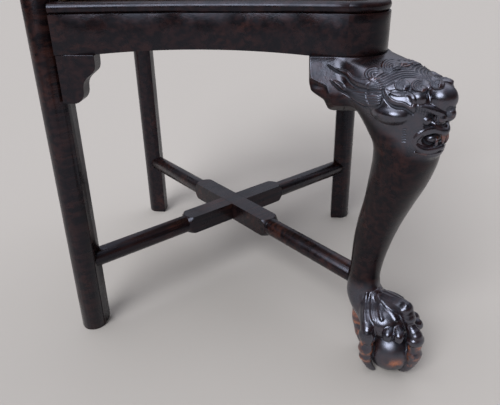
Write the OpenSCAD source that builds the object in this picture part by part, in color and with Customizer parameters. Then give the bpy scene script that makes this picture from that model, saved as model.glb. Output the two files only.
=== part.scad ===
// Corner armchair: a square seat set cornerwise, three straight legs that run up into turned arm
// posts, and a cabriole front leg with a lion mask knee and a claw and ball foot.
// Millimetres. X runs to the right, Y to the back, Z up from the floor.

/* [Seat plan] */
// Distance between leg centres along one side of the square seat
seat_side = 410; // [390:5:430]
// Width of a straight leg
leg_w = 38; // [35:0.5:42]
// Depth of the hollow in plan of each front rail
rail_hollow = 14; // [6:1:16]
// Distance from one front face line to the end of the other front rail
corner_cut = 52; // [50:1:58]

/* [Heights] */
// Top of the seat rails above the floor
seat_h = 494; // [470:2:518]
// Depth of the seat rails
rail_h = 61; // [56:1:66]
// Top of the arms above the seat rails
arm_rise = 245; // [225:5:265]
// Height of the crest above the arms
crest_rise = 76; // [56:2:90]
// Top of the crossed stretchers above the floor
stretcher_top = 133; // [123:2:149]

/* [Rails and moulding] */
// Thickness of a seat rail
rail_t = 34; // [30:1:40]
// Thickness of the rail's upper wall, outside the rebate
rail_wall = 20; // [17:1:23]
// Depth of the rebate that the drop-in seat rests in
rebate_h = 20; // [16:1:24]
// Radius of the round nosing along the top of the rails
nosing_r = 7; // [5:0.5:8]
// Step between the nosing's quirk and the rail face
quirk = 4; // [2:0.5:5]
// Rise of the arch along the lower edge of a front rail
rail_arch = 5; // [2:1:9]
// Thickness of a rail tenon
tenon_t = 10; // [8:1:12]
// Length of a rail tenon
tenon_l = 15; // [10:1:16]

/* [Brackets] */
// Width of a bracket under a front rail at a side leg
side_bracket_w = 50; // [44:1:56]
// Drop of that bracket below the rail
side_bracket_h = 62; // [52:1:70]
// Thickness of that bracket
side_bracket_t = 22; // [16:1:28]
// Width of a carved knee bracket
knee_bracket_w = 44; // [38:1:50]
// Drop of a knee bracket below the rail
knee_bracket_h = 65; // [60:1:70]
// Thickness of a knee bracket at its top
knee_bracket_t = 34; // [28:1:38]
// How far the carved knee face leans out over its drop
knee_flare = 22; // [16:1:28]

/* [Stretchers] */
// Width of the square block at the crossing
stretcher_w = 32; // [29:1:36]
// Depth of the square block at the crossing
stretcher_t = 31; // [28:1:34]
// Diameter of the round part of a stretcher
stretcher_d = 29; // [25:1:29]
// Distance from the crossing to the end of a square block
block_reach = 92; // [80:2:104]

/* [Front leg] */
// Distance from the seat's centre to the ball's centre
ball_reach = 364; // [356:1:372]
// Radius of the ball under the claw
ball_r = 34; // [31:0.5:37]
// Distance from the ball's centre to the outside of the front toe's knuckle
toe_reach = 49.5; // [46:0.5:53]
// Distance from the seat's centre to the middle of the ankle
ankle_reach = 307; // [301:1:313]
// Radius of the ankle
ankle_r = 22; // [20:0.5:24]
// Distance from the seat's centre to the front of the lion's brow
mask_reach = 398; // [390:1:406]

/* [Arms and back] */
// Width of the arm at the back
arm_w = 52; // [46:1:58]
// Thickness of the arm
arm_t = 26; // [22:1:30]
// Width across the scrolled end of the arm
hand_w = 72; // [62:1:80]
// How far the scrolled end turns outward
hand_out = 20; // [10:1:28]
// How much the arm bow flattens between the posts
bow_flat = 18; // [8:1:24]
// Angle round the seat from the back to the middle of an arm's end
arm_sweep = 106; // [100:1:110]
// Thickness of the crest at its foot
crest_t = 30; // [24:1:34]
// Backward lean of the crest, as a share of its height
crest_lean = 0.14; // [0:0.02:0.24]
// Angle that half the crest covers
crest_sweep = 50; // [44:1:56]
// Radius of the turned posts at their thickest
post_r = 16.5; // [14:0.5:18]
// Thickness of a splat
splat_t = 12; // [10:1:14]
// Width of a splat at its belly
splat_w = 104; // [92:2:114]
// Length of a splat's shoe
shoe_l = 104; // [96:2:124]
// Height of a splat's shoe
shoe_h = 17; // [14:1:22]

/* [Drop-in seat] */
// Width of a rail of the drop-in frame
frame_w = 46; // [40:1:52]
// Thickness of the drop-in frame
frame_t = 18; // [16:1:20]
// Rise of the pad's crown above the drop-in frame's edge
pad_crown = 26; // [18:1:32]
// Height of the pad's edge above the drop-in frame
pad_edge = 9; // [6:1:12]
// Width of a webbing strap
web_w = 50; // [44:1:54]

/* [Hidden] */

wood = "#2b1b1c";
seat_wood = "#8a6a48";
webbing_cloth = "#b39a6b";
leather = "#5d3a26";

clear = 0.2;      // clearance round a tenon
seat_clear = 1.6; // running clearance round the drop-in seat
seat_gap = 0.3;   // gap between the drop-in seat and its rebate
eps = 0.01;
round_fn = 64;

reach = seat_side / sqrt(2);         // centre to a leg's centre
face = (seat_side + leg_w) / 2;      // centre to the face line of the rails
leg_in = (seat_side - leg_w) / 2;    // centre to the inner face of a straight leg
rail_z = seat_h - rail_h;            // lower edge of the rails
ledge_z = seat_h - rebate_h;         // top of the rebate's ledge
arm_z = seat_h + arm_rise;           // top of the arms
arm_z0 = arm_z - arm_t;              // underside of the arms
stretcher_z = stretcher_top - stretcher_t / 2;
inner_corner = reach - leg_w / sqrt(2);
front_extent = ball_reach + toe_reach;
back_extent = reach + crest_t / 2 + crest_rise * crest_lean;
frame_y = (front_extent - back_extent) / 2; // puts the origin under the middle of the chair

// The front rail's hollow arc runs from the side leg to the joint with the front leg.
joint_x = face - corner_cut;
hollow_chord = joint_x + leg_in;
hollow_r = hollow_chord * hollow_chord / 8 / rail_hollow + rail_hollow / 2;
hollow_x = (joint_x - leg_in) / 2;
hollow_y = -face - hollow_r + rail_hollow;
hollow_a = asin(hollow_chord / 2 / hollow_r);
// The front corner's arc is tangent to both hollow rails, with its centre on the chair's middle line.
corner_r = corner_cut / (cos(hollow_a) + sin(hollow_a));
corner_x = joint_x + corner_r * sin(hollow_a);
corner_y = -corner_x * sqrt(2);      // the same centre in the chair's own X and Y

function smooth(t) = t * t * (3 - 2 * t);
function ramp(x, a, b) = smooth(min(1, max(0, (x - a) / (b - a))));
function mix(a, b, t) = a + (b - a) * t;
function curve(p, q, r, s, n = 8) = [
    for (i = [0 : n - 1])
        let (t = i / n, k = 1 - t)
        k * k * k * p + 3 * k * k * t * q + 3 * k * t * t * r + t * t * t * s
];
// A station table's row i, run smoothly between rows by a cardinal spline.
function row(rows, i) = rows[min(len(rows) - 1, max(0, i))];
function spline(rows, i, t) =
    let (
        a = row(rows, i - 1), b = row(rows, i), c = row(rows, i + 1), d = row(rows, i + 2)
    )
    0.5 * (2 * b + (c - a) * t + (2 * a - 5 * b + 4 * c - d) * t * t
        + (3 * b - a - 3 * c + d) * t * t * t);

module in_frame() {
    translate([0, frame_y, 0]) children();
}
// Local X runs along a side of the seat and local -Y points out of it.
// Side 0 is the front left, 1 the rear left and 2 the rear right.
module at_side(side) {
    rotate([0, 0, -45 - 90 * side]) children();
}
module right_hand() {
    mirror([1, 0, 0]) children();
}
// A closed skin over rings of points, which turn anticlockwise seen from the far end.
module skin(rings) {
    n = len(rings[0]);
    count = len(rings);
    polyhedron(
        points = [for (ring = rings) each ring],
        faces = concat(
            [[for (j = [0 : n - 1]) j]],
            [
                for (i = [0 : count - 2], j = [0 : n - 1])
                    let (k = (j + 1) % n)
                    each [
                        [i * n + j, (i + 1) * n + k, i * n + k],
                        [i * n + j, (i + 1) * n + j, (i + 1) * n + k]
                    ]
            ],
            [[for (j = [0 : n - 1]) count * n - 1 - j]]
        ),
        convexity = 6
    );
}

// Rings along a path of [x, y, z, radius] rows, smoothed between rows and square to the path.
function unit(v) = v / max(norm(v), eps);
function tube_rings(path, n, between) =
    let (
        fine = concat(
            [for (i = [0 : len(path) - 2], j = [0 : between - 1]) spline(path, i, j / between)],
            [path[len(path) - 1]]
        ),
        last = len(fine) - 1
    )
    [
        for (i = [0 : last])
            let (
                d = fine[min(last, i + 1)] - fine[max(0, i - 1)],
                along = unit([d.x, d.y, d.z]),
                side = unit(cross(along, abs(along.x) > 0.8 ? [0, 0, 1] : [1, 0, 0])),
                lift = cross(along, side)
            )
            [
                for (k = [0 : n - 1])
                    [fine[i].x, fine[i].y, fine[i].z]
                        + fine[i][3] * (cos(360 * k / n) * side + sin(360 * k / n) * lift)
            ]
    ];
module tube(path, n = 8, between = 2) {
    skin(tube_rings(path, n, between));
}

// Straight legs and turned posts

// Square towards the seat and round outside, with the square reaching a little past the middle.
module leg_section(grow = 0) {
    w = leg_w / 2 + grow;
    circle(r = w, $fn = round_fn);
    translate([-5, -5]) square([w + 5, w + 5]);
}
post_foot = 14; // the straight leg shows this far above the seat
post_z = seat_h + post_foot;
post_len = arm_z0 - post_z;
post_tenon_r = 9;
post_tenon_l = 16;
// Radius of the post at a share t of its height.
function post_profile(t) =
    t < 0.10 ? mix(post_r, post_r * 0.72, smooth(t / 0.10))
    : t < 0.30 ? post_r * (0.72 + 0.28 * sin(180 * (t - 0.10) / 0.26))
    : t < 0.86 ? mix(post_r * 0.907, post_r * 0.56, ramp(t, 0.27, 0.62))
    : mix(post_r * 0.56, post_r * 0.9, smooth((t - 0.86) / 0.14));
module post_ring(t, r, h) {
    translate([r - h / 2, post_len * t]) circle(d = h, $fn = 24);
    translate([0, post_len * t - h / 2]) square([r - h / 2, h]);
}
module post() {
    steps = 30;
    translate([0, 0, post_z - eps])
        rotate_extrude($fn = round_fn) {
            polygon(concat(
                [[0, 0]],
                [for (i = [0 : steps]) [post_profile(i / steps), post_len * i / steps + eps]],
                [[0, post_len + eps]]
            ));
            post_ring(0.035, post_r + 1.5, 9);
            post_ring(0.105, post_r * 0.82, 5);
            post_ring(0.80, post_r * 0.78, 6);
            post_ring(0.97, post_r, 7);
        }
    translate([0, 0, arm_z0 - eps]) cylinder(r = post_tenon_r, h = post_tenon_l, $fn = round_fn);
}
rail_tenon_h = rail_h - 24;
rail_tenon_z = rail_z + 9;
tenon_y = -face + rail_wall / 2 + tenon_t / 2 - 1; // centre line of a rail's tenon
module rail_mortise(end) {
    translate([end - tenon_l - 0.6, tenon_y - tenon_t / 2 - clear, rail_tenon_z - clear])
        cube([tenon_l + 1.6, tenon_t + 2 * clear, rail_tenon_h + 2 * clear]);
}
stretcher_tenon = [22, 12, 18];
module straight_leg() {
    foot = 3;
    difference() {
        union() {
            at_side(0) translate([-seat_side / 2, -seat_side / 2, foot])
                linear_extrude(post_z - foot) leg_section();
            at_side(0) translate([-seat_side / 2, -seat_side / 2, 0])
                linear_extrude(foot + eps) leg_section(-1);
            translate([-reach, 0, 0]) post();
        }
        // The stretcher's mortise opens at the leg's inner corner.
        translate([-inner_corner - stretcher_tenon.x - clear, -stretcher_tenon.y / 2 - clear,
            stretcher_z - stretcher_tenon.z / 2 - clear])
            cube([stretcher_tenon.x + 12, stretcher_tenon.y + 2 * clear,
                stretcher_tenon.z + 2 * clear]);
        children();
    }
}
module side_leg() {
    straight_leg() {
        at_side(0) rail_mortise(-leg_in);
        at_side(1) mirror([1, 0, 0]) rail_mortise(-leg_in);
    }
}
module left_leg() {
    color(wood) in_frame() side_leg();
}
module right_leg() {
    color(wood) in_frame() right_hand() side_leg();
}
module rear_leg() {
    color(wood) in_frame() rotate([0, 0, -90]) straight_leg() {
        at_side(0) rail_mortise(-leg_in);
        at_side(1) mirror([1, 0, 0]) rail_mortise(-leg_in);
    }
}

// Seat rails

fillet_z = rail_h - 2 * nosing_r + 0.5; // top of the plain face below the moulding
// The rail's section: x runs in from the face and y up from the lower edge.
module rail_section(depth = rail_t) {
    square([depth, rail_h - rebate_h]);
    square([rail_wall, fillet_z]);
    translate([quirk, 0]) square([rail_wall - quirk, rail_h - nosing_r]);
    translate([nosing_r + 0.3, rail_h - nosing_r]) circle(r = nosing_r, $fn = 32);
    translate([nosing_r + 0.3, 0]) square([rail_wall - nosing_r - 0.3, rail_h]);
}
module rail_tenon(end, reach_in) {
    translate([end - reach_in, tenon_y - tenon_t / 2, rail_tenon_z])
        cube([reach_in + 1, tenon_t, rail_tenon_h]);
}
// One end's tenon of a front rail, which enters the front leg square to the joint's plane.
joint_tenon_l = 12;
joint_tenon_y = rail_wall / 2 + 2;
module joint_frame() {
    translate([joint_x, -face, 0]) rotate([0, 0, -hollow_a]) children();
}
module joint_tenon(grow = 0) {
    joint_frame()
        translate([-1, joint_tenon_y - tenon_t / 2 - grow, rail_tenon_z - grow])
            cube([joint_tenon_l + 1 + grow * 3, tenon_t + 2 * grow, rail_tenon_h + 2 * grow]);
}
// The hollow rail follows its arc, and its lower edge rises in a long flat arch.
module front_rail() {
    arch_n = 14;
    at_side(0) {
        difference() {
            intersection() {
                translate([hollow_x, hollow_y, rail_z])
                    rotate([0, 0, 90 - hollow_a])
                        rotate_extrude(angle = 2 * hollow_a + 2, $fn = 1080)
                            translate([hollow_r, 0]) rail_section();
                translate([-leg_in, -face - 60, rail_z - 1]) cube([joint_x + leg_in + 30, 160, rail_h + 2]);
            }
            translate([0, 1, 0]) rotate([90, 0, 0]) linear_extrude(height = face + 80)
                polygon(concat(
                    [[joint_x - knee_bracket_w, rail_z - 5], [-leg_in + side_bracket_w, rail_z - 5]],
                    [
                        for (i = [0 : arch_n])
                            let (t = i / arch_n)
                            [
                                mix(-leg_in + side_bracket_w, joint_x - knee_bracket_w, t),
                                rail_z - 0.1 + (rail_arch + 0.1) * 4 * t * (1 - t)
                            ]
                    ]
                ));
        }
        rail_tenon(-leg_in, tenon_l);
        joint_tenon();
    }
}
module rear_rail() {
    at_side(1) {
        translate([-leg_in, -face, rail_z]) rotate([90, 0, 90])
            linear_extrude(2 * leg_in) rail_section();
        rail_tenon(-leg_in, tenon_l);
        mirror([1, 0, 0]) rail_tenon(-leg_in, tenon_l);
    }
}
module front_left_rail() {
    color(wood) in_frame() front_rail();
}
module front_right_rail() {
    color(wood) in_frame() right_hand() front_rail();
}
module rear_left_rail() {
    color(wood) in_frame() rear_rail();
}
module rear_right_rail() {
    color(wood) in_frame() right_hand() rear_rail();
}

// Brackets

// The shaped bracket in the angle of a side leg and a front rail.
module side_bracket() {
    w = side_bracket_w;
    h = side_bracket_h;
    at_side(0) translate([-leg_in, -face + side_bracket_t + 2, rail_z]) rotate([90, 0, 0])
        linear_extrude(side_bracket_t)
            polygon(concat(
                [[0, 0]],
                [[0, -h]],
                curve([w * 0.30, -h], [w * 0.44, -h], [w * 0.60, -h * 0.90], [w * 0.60, -h * 0.72]),
                curve([w * 0.60, -h * 0.72], [w * 0.60, -h * 0.50], [w * 0.76, -h * 0.46], [w * 0.92, -h * 0.35]),
                curve([w * 0.92, -h * 0.35], [w, -h * 0.29], [w, -h * 0.22], [w, 0], 4),
                [[w, 0]]
            ));
}
// The knee bracket's lower outline is an ogee with a nib, dropping by shares of its height.
function knee_outline(step, foot) = let (w = knee_bracket_w, h = knee_bracket_h) concat(
    [[0, 0], [-w, 0]],
    curve([-w, -h * (step - 0.10)], [-w, -h * (step - 0.01)],
        [-w * 0.80, -h * (step - 0.03)], [-w * 0.58, -h * (step + 0.04)]),
    curve([-w * 0.58, -h * (step + 0.04)], [-w * 0.42, -h * (step + 0.11)],
        [-w * 0.46, -h * foot], [-w * 0.24, -h * foot]),
    [[0, -h * foot]]
);
module knee_slab(step, foot, forward) {
    translate([joint_x, -face + knee_bracket_t + 2, rail_z]) rotate([90, 0, 0])
        linear_extrude(knee_bracket_t + 2 + forward) polygon(knee_outline(step, foot));
}
// Its face leans out from the rail, and is cut back from the deeper outline behind it.
module knee_bracket() {
    w = knee_bracket_w;
    h = knee_bracket_h;
    at_side(0) intersection() {
        union() {
            knee_slab(0.66, 1, knee_flare * 0.6);
            knee_slab(0.42, 0.83, knee_flare + 8);
        }
        translate([joint_x - w - 1, -face, rail_z]) rotate([90, 0, 90])
            linear_extrude(w + 2)
                polygon(concat(
                    [[knee_bracket_t, 1], [0.5, 1], [0.5, 0]],
                    curve([0.5, 0], [-knee_flare * 0.3, -h * 0.1], [-knee_flare * 0.9, -h * 0.5],
                        [-knee_flare, -h * 0.72]),
                    curve([-knee_flare, -h * 0.72], [-knee_flare * 0.95, -h * 0.9],
                        [-knee_flare * 0.6, -h * 0.96], [-knee_flare * 0.3, -h - 1], 4),
                    [[knee_bracket_t, -h - 1]]
                ));
    }
}
module left_knee_bracket() {
    color(wood) in_frame() knee_bracket();
}
module right_knee_bracket() {
    color(wood) in_frame() right_hand() knee_bracket();
}
module left_side_bracket() {
    color(wood) in_frame() side_bracket();
}
module right_side_bracket() {
    color(wood) in_frame() right_hand() side_bracket();
}

// Crossed stretchers

shoulder_l = 14; // length of the turned shoulder at each end of a square block
module stretcher_bar(from, to) {
    corner = norm([stretcher_w, stretcher_t]) / 2 + 0.5;
    r = stretcher_d / 2;
    rotate([0, 90, 0]) translate([0, 0, from]) cylinder(r = r, h = to - from, $fn = round_fn);
    intersection() {
        translate([-block_reach - shoulder_l, -stretcher_w / 2, -stretcher_t / 2])
            cube([2 * (block_reach + shoulder_l), stretcher_w, stretcher_t]);
        // The shoulders are turned, so the square's arrises run out in curves.
        rotate([0, 90, 0]) rotate_extrude($fn = round_fn)
            polygon(concat(
                [[0, -block_reach - shoulder_l]],
                [
                    for (i = [0 : 6])
                        [mix(r - 0.5, corner, sin(15 * i)), -block_reach - shoulder_l * (1 - i / 6)]
                ],
                [
                    for (i = [0 : 6])
                        [mix(r - 0.5, corner, cos(15 * i)), block_reach + shoulder_l * i / 6]
                ],
                [[0, block_reach + shoulder_l]]
            ));
    }
}
// The end of a stretcher is scribed over a straight leg's inner corner and tenoned into it.
module leg_scribe() {
    at_side(0) translate([-seat_side / 2, -seat_side / 2, -100])
        linear_extrude(200) leg_section();
}
module stretcher_end_tenon() {
    translate([-inner_corner - stretcher_tenon.x, -stretcher_tenon.y / 2, -stretcher_tenon.z / 2])
        cube([stretcher_tenon.x + 14, stretcher_tenon.y, stretcher_tenon.z]);
}
module half_lap(upper) {
    s = stretcher_w / 2 + clear / 2;
    translate([-s, -s, upper ? 0 : -stretcher_t])
        cube([2 * s, 2 * s, stretcher_t]);
}
module side_stretcher() {
    color(wood) in_frame() translate([0, 0, stretcher_z]) {
        difference() {
            stretcher_bar(-reach, reach);
            half_lap(true);
            leg_scribe();
            right_hand() leg_scribe();
        }
        stretcher_end_tenon();
        right_hand() stretcher_end_tenon();
    }
}
front_tenon_l = 18;
front_tenon_y = ankle_reach - ankle_r;
module front_stretcher() {
    color(wood) in_frame() translate([0, 0, stretcher_z]) rotate([0, 0, -90]) {
        difference() {
            stretcher_bar(-reach, ankle_reach);
            half_lap(false);
            leg_scribe();
            translate([ankle_reach, 0, -100]) cylinder(r = ankle_r + 1.2, h = 200, $fn = round_fn);
        }
        stretcher_end_tenon();
        translate([front_tenon_y - 14, -stretcher_tenon.y / 2, -stretcher_tenon.z / 2])
            cube([front_tenon_l + 14, stretcher_tenon.y, stretcher_tenon.z]);
    }
}

// Front leg

// Each station of the cabriole leg: height, back and front distance from the seat's centre,
// half width, and squareness, 2 for an ellipse.
leg_stations = [
    [60, ankle_reach + 8, ankle_reach + 62, 22, 2.0],
    [74, ankle_reach - 10, ankle_reach + 54, 25, 2.0],
    [94, ankle_reach - ankle_r, ankle_reach + ankle_r + 8, ankle_r + 1.5, 2.0],
    [118, ankle_reach - ankle_r, ankle_reach + ankle_r - 0.5, ankle_r - 0.5, 2.0],
    [150, ankle_reach - ankle_r + 2.5, ankle_reach + ankle_r + 2, ankle_r, 2.05],
    [186, ankle_reach - ankle_r + 5, ankle_reach + ankle_r + 10.5, ankle_r + 2.5, 2.1],
    [221, ankle_reach - 11, ankle_reach + 44, 27.5, 2.15],
    [254, ankle_reach - 3, ankle_reach + 58, 30.5, 2.15],
    [286, ankle_reach + 3, mask_reach - 19, 35, 2.2],
    [rail_z - 118, ankle_reach + 7, mask_reach - 10, 38, 2.2],
    [rail_z - 98, ankle_reach + 6, mask_reach - 8, 39.5, 2.2],
    [rail_z - 84, ankle_reach - 4, mask_reach - 8, 40.5, 2.2],
    [rail_z - 62, ankle_reach - 24, mask_reach - 7, 44, 2.3],
    [rail_z - 44, ankle_reach - 48, mask_reach - 6, 53, 2.3],
    [rail_z - 30, ankle_reach - 60, mask_reach - 12, 52, 2.2],
    [rail_z - 19, ankle_reach - 66, mask_reach - 30, 48, 2.2],
    [rail_z - 9, ankle_reach - 72, mask_reach - 58, 43, 2.2],
    [rail_z, ankle_reach - 75, corner_x * sqrt(2) + corner_r - 1, 40, 2.2]
];
module cabriole() {
    around = 24;
    between = 2;
    stations = [
        for (i = [0 : len(leg_stations) - 2], j = [0 : between - 1]) spline(leg_stations, i, j / between)
    ];
    skin([
        for (s = concat(stations, [leg_stations[len(leg_stations) - 1]]))
            let (mid = -(s[1] + s[2]) / 2, deep = (s[2] - s[1]) / 2)
            [
                for (k = [0 : around - 1])
                    let (a = 360 * k / around, c = cos(a), n = sin(a))
                    [
                        s[3] * sign(c) * pow(abs(c), 2 / s[4]),
                        mid + deep * sign(n) * pow(abs(n), 2 / s[4]),
                        s[0]
                    ]
            ]
    ]);
}
// The corner block carries the rail moulding round the front of the seat.
module corner_block() {
    arc = 90 + 2 * hollow_a;
    translate([0, corner_y, rail_z]) rotate([0, 0, -90 - arc / 2])
        rotate_extrude(angle = arc, $fn = 96)
            intersection() {
                translate([corner_r, 0]) mirror([1, 0]) rail_section(corner_r);
                square([corner_r + 1, rail_h + 1]);
            }
}
// Everything of the leg outside this wedge belongs to the rails and the knee brackets.
module leg_stock() {
    at_side(0) translate([joint_x + 0.1, -700, -1])
        cube([600, 700 - joint_x - 0.1, rail_z + 1.5]);
}
// Each toe runs from the paw over its knuckles to the nail: distance out, sideways, height, radius.
front_toe = [
    [2, 0, 84, 13], [20, 0, 82, 14], [33, 0, 66, 11], [toe_reach - 12.5, 0, 52, 12.5],
    [toe_reach - 10, 0, 37, 9], [toe_reach - 11, 0, 25, 9], [34, 0, 12, 6.5], [28, 0, 2, 3]
];
side_toe = [
    [4, 3, 92, 13], [24, 6, 90, 12.5], [35, 9, 80, 10.5], [36, 10, 67, 9.5], [toe_reach - 12, 11, 54, 11.5],
    [toe_reach - 11, 12, 38, 8.5], [toe_reach - 12.5, 11, 26, 8.5], [32, 10, 12, 6], [25, 8, 2, 3]
];
rear_toe = [
    [62, 0, 104, 8], [62, 0, 84, 11], [60, 0, 66, 10.5], [toe_reach + 9, 0, 50, 11.5],
    [toe_reach + 7, 0, 36, 9.5], [toe_reach + 4.5, 0, 25, 9], [48, 0, 12, 7], [38, 0, 2, 3.5]
];
claw_between = [
    [16, 10, 78, 10], [28, 14, 68, 9], [32, 18, 56, 8], [33, 20, 46, 5.5], [31, 21, 38, 2.5]
];
module toes() {
    rotate([0, 0, -90]) tube(front_toe, 10);
    for (side = [0, 1]) mirror([side, 0, 0]) tube(side_toe, 10);
    rotate([0, 0, 90]) tube(rear_toe, 10);
    // Small claws grip the ball between the front toe and the side toes.
    for (side = [-1, 1]) rotate([0, 0, -90]) tube([for (p = claw_between) [p.x, side * p.y, p.z, p[3]]]);
}
module claw_foot() {
    translate([0, -ball_reach, 0]) intersection() {
        union() {
            translate([0, 0, ball_r - 1.5]) sphere(r = ball_r, $fn = 28);
            toes();
            // The paw spreads from the ankle over the ball.
            hull() {
                translate([0, ball_reach - ankle_reach, 94]) sphere(r = ankle_r, $fn = 20);
                translate([0, 2, 72]) sphere(r = 27, $fn = 20);
            }
        }
        translate([-90, -90, 0]) cube([180, 180, 160]);
    }
}
module blob(at, r, n = 14) {
    translate(at) sphere(r = r, $fn = n);
}
// Half of the lion's mask; the other half mirrors it. Y runs back from the front of the brow and
// Z up from a level a little above the lower edge of the rails.
mask_lift = 6;
module mask_half() {
    // Forehead boss
    hull() {
        blob([4, 20, -43], 19, 18);
        blob([13, 28, -38], 17, 16);
    }
    // Eye, with its brow above and the pouch below
    hull() {
        blob([21, 12, -67], 7);
        blob([25, 15, -68], 7);
    }
    tube([[7, 6, -55, 5], [16, 5, -53, 6.5], [27, 12, -54, 6], [38, 25, -60, 5], [42, 36, -68, 2]]);
    tube([[12, 9, -74, 2], [20, 7, -78, 3.5], [30, 13, -76, 3.5], [37, 23, -70, 2]]);
    // Nose, muzzle and upper lip
    hull() {
        blob([5, 10, -71], 8.5);
        blob([8, 12, -74], 8);
    }
    hull() {
        blob([6, 14, -83], 10);
        blob([22, 20, -81], 9);
    }
    tube([[2, 4, -88, 4], [11, 4, -85, 5.5], [22, 9, -85, 5], [31, 19, -91, 4.5], [35, 30, -101, 2]]);
    // Half of the pearl held in the mouth, and the lower lip
    hull() {
        blob([5, 13, -96], 9);
        blob([10, 15, -96], 8);
    }
    tube([[1, 9, -108, 5], [11, 8, -107, 5.5], [22, 13, -104, 5], [31, 23, -98, 4], [35, 32, -92, 2]]);
    // Cheek and ear, laid back along the mane
    blob([26, 44, -66], 20, 18);
    tube([[34, 28, -50, 4], [44, 38, -46, 7], [47, 52, -42, 7], [44, 66, -36, 5], [38, 80, -28, 2]]);
    // Tufts of beard along the jaw
    for (i = [0 : 3])
        tube([
            [34 - 3 * i, 34 + 2 * i, -76 - 11 * i, 5], [40 - 3 * i, 42 + 3 * i, -80 - 11 * i, 5.5],
            [40 - 3 * i, 52 + 4 * i, -88 - 11 * i, 4], [34 - 3 * i, 60 + 4 * i, -96 - 10 * i, 1.5]
        ], 7);
}
// Locks of the mane, sweeping up and back over the knee.
module mane_half() {
    for (i = [0 : 3]) {
        x = 5 + 10.5 * i;
        tube([
            [x * 0.9, 24 + i * i * 1.4, -24 - 3 * i, 6], [x, 36 + i * i, -20 - 3 * i, 7.5],
            [x * 1.06, 52 + i, -14 - 3.2 * i, 7], [x * 1.10, 66, -8 - 4 * i, 5.5],
            [x * 1.06, 80, -5 - 5 * i, 2.5]
        ], 7);
    }
}
module front_leg() {
    color(wood) in_frame() difference() {
        union() {
            corner_block();
            intersection() {
                union() {
                    cabriole();
                    for (side = [0, 1]) mirror([side, 0, 0]) translate([0, -mask_reach, rail_z + mask_lift]) {
                        mask_half();
                        mane_half();
                    }
                }
                leg_stock();
                right_hand() leg_stock();
            }
            claw_foot();
        }
        at_side(0) joint_tenon(clear);
        right_hand() at_side(0) joint_tenon(clear);
        translate([-stretcher_tenon.y / 2 - clear, -front_tenon_y - front_tenon_l - clear,
            stretcher_z - stretcher_tenon.z / 2 - clear])
            cube([stretcher_tenon.y + 2 * clear, front_tenon_l + 20, stretcher_tenon.z + 2 * clear]);
    }
}

// Splats and shoes

splat_y0 = face - rail_wall / 2 - 1;  // splat's middle line at its foot
splat_y1 = reach - bow_flat - 8;      // and at the arm
splat_z0 = seat_h + shoe_h - 10;
splat_z1 = arm_z0 + 8;
function splat_lean(t) = mix(splat_y0, splat_y1, t < 0.12 ? 0 : pow(smooth((t - 0.12) / 0.88), 0.9));
module splat_shoe() {
    depth = rail_wall - 1.5;
    at_side(1) difference() {
        intersection() {
            translate([0, -face + nosing_r / 2 - 2.5, seat_h]) rotate([90, 0, 90])
                translate([0, 0, -shoe_l / 2]) linear_extrude(shoe_l) shoe_section(depth);
            translate([0, -face + 60, seat_h]) rotate([90, 0, 0]) linear_extrude(120)
                translate([-shoe_l / 2, 0]) shoe_section(shoe_l);
        }
        translate([-splat_foot_w / 2 - clear, -splat_y0 - splat_t / 2 - clear, splat_z0 - clear])
            cube([splat_foot_w + 2 * clear, splat_t + 2 * clear, 40]);
    }
}
// A plinth with a hollow above it, drawn for a width w.
module shoe_section(w) {
    low = shoe_h * 0.35;
    r = min(shoe_h - low, 3);
    difference() {
        square([w, shoe_h]);
        for (x = [0, w]) translate([x, low + r]) circle(r = r, $fn = 24);
        for (x = [-1, w - r]) translate([x, low + r]) square([r + 1, shoe_h]);
    }
}
splat_foot_w = 70;
splat_neck_w = 44;
splat_top_w = 96;
// Right half of the splat's outline, from the foot up.
splat_h = splat_z1 - splat_z0;
splat_half = let (
    h = splat_h, f = splat_foot_w / 2, b = splat_w / 2, n = splat_neck_w / 2, w = splat_top_w / 2
) concat(
    [[f, 0]],
    curve([f, h * 0.07], [f, h * 0.13], [f * 0.62, h * 0.11], [f * 0.62, h * 0.18], 5),
    curve([f * 0.62, h * 0.18], [f * 0.62, h * 0.26], [b, h * 0.27], [b, h * 0.42]),
    curve([b, h * 0.42], [b, h * 0.56], [n * 1.1, h * 0.55], [n, h * 0.66]),
    curve([n, h * 0.66], [n * 0.9, h * 0.74], [n * 0.9, h * 0.78], [w * 0.74, h * 0.79], 6),
    curve([w * 0.74, h * 0.79], [w, h * 0.80], [w, h * 0.87], [w * 0.86, h * 0.90], 6),
    [[w * 0.86, h]]
);
function flipped(points) = [for (i = [len(points) - 1 : -1 : 0]) [-points[i].x, points[i].y]];
// One of the pair of leaf piercings in the belly.
leaf_half = let (h = splat_h, b = splat_w / 2) concat(
    curve([5, h * 0.24], [8, h * 0.33], [b * 0.64, h * 0.33], [b * 0.64, h * 0.43]),
    curve([b * 0.64, h * 0.43], [b * 0.62, h * 0.51], [9, h * 0.50], [5, h * 0.61]),
    curve([5, h * 0.61], [5, h * 0.53], [b * 0.30, h * 0.51], [b * 0.30, h * 0.43], 6),
    curve([b * 0.30, h * 0.43], [b * 0.30, h * 0.36], [5, h * 0.35], [5, h * 0.24], 6)
);
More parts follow.
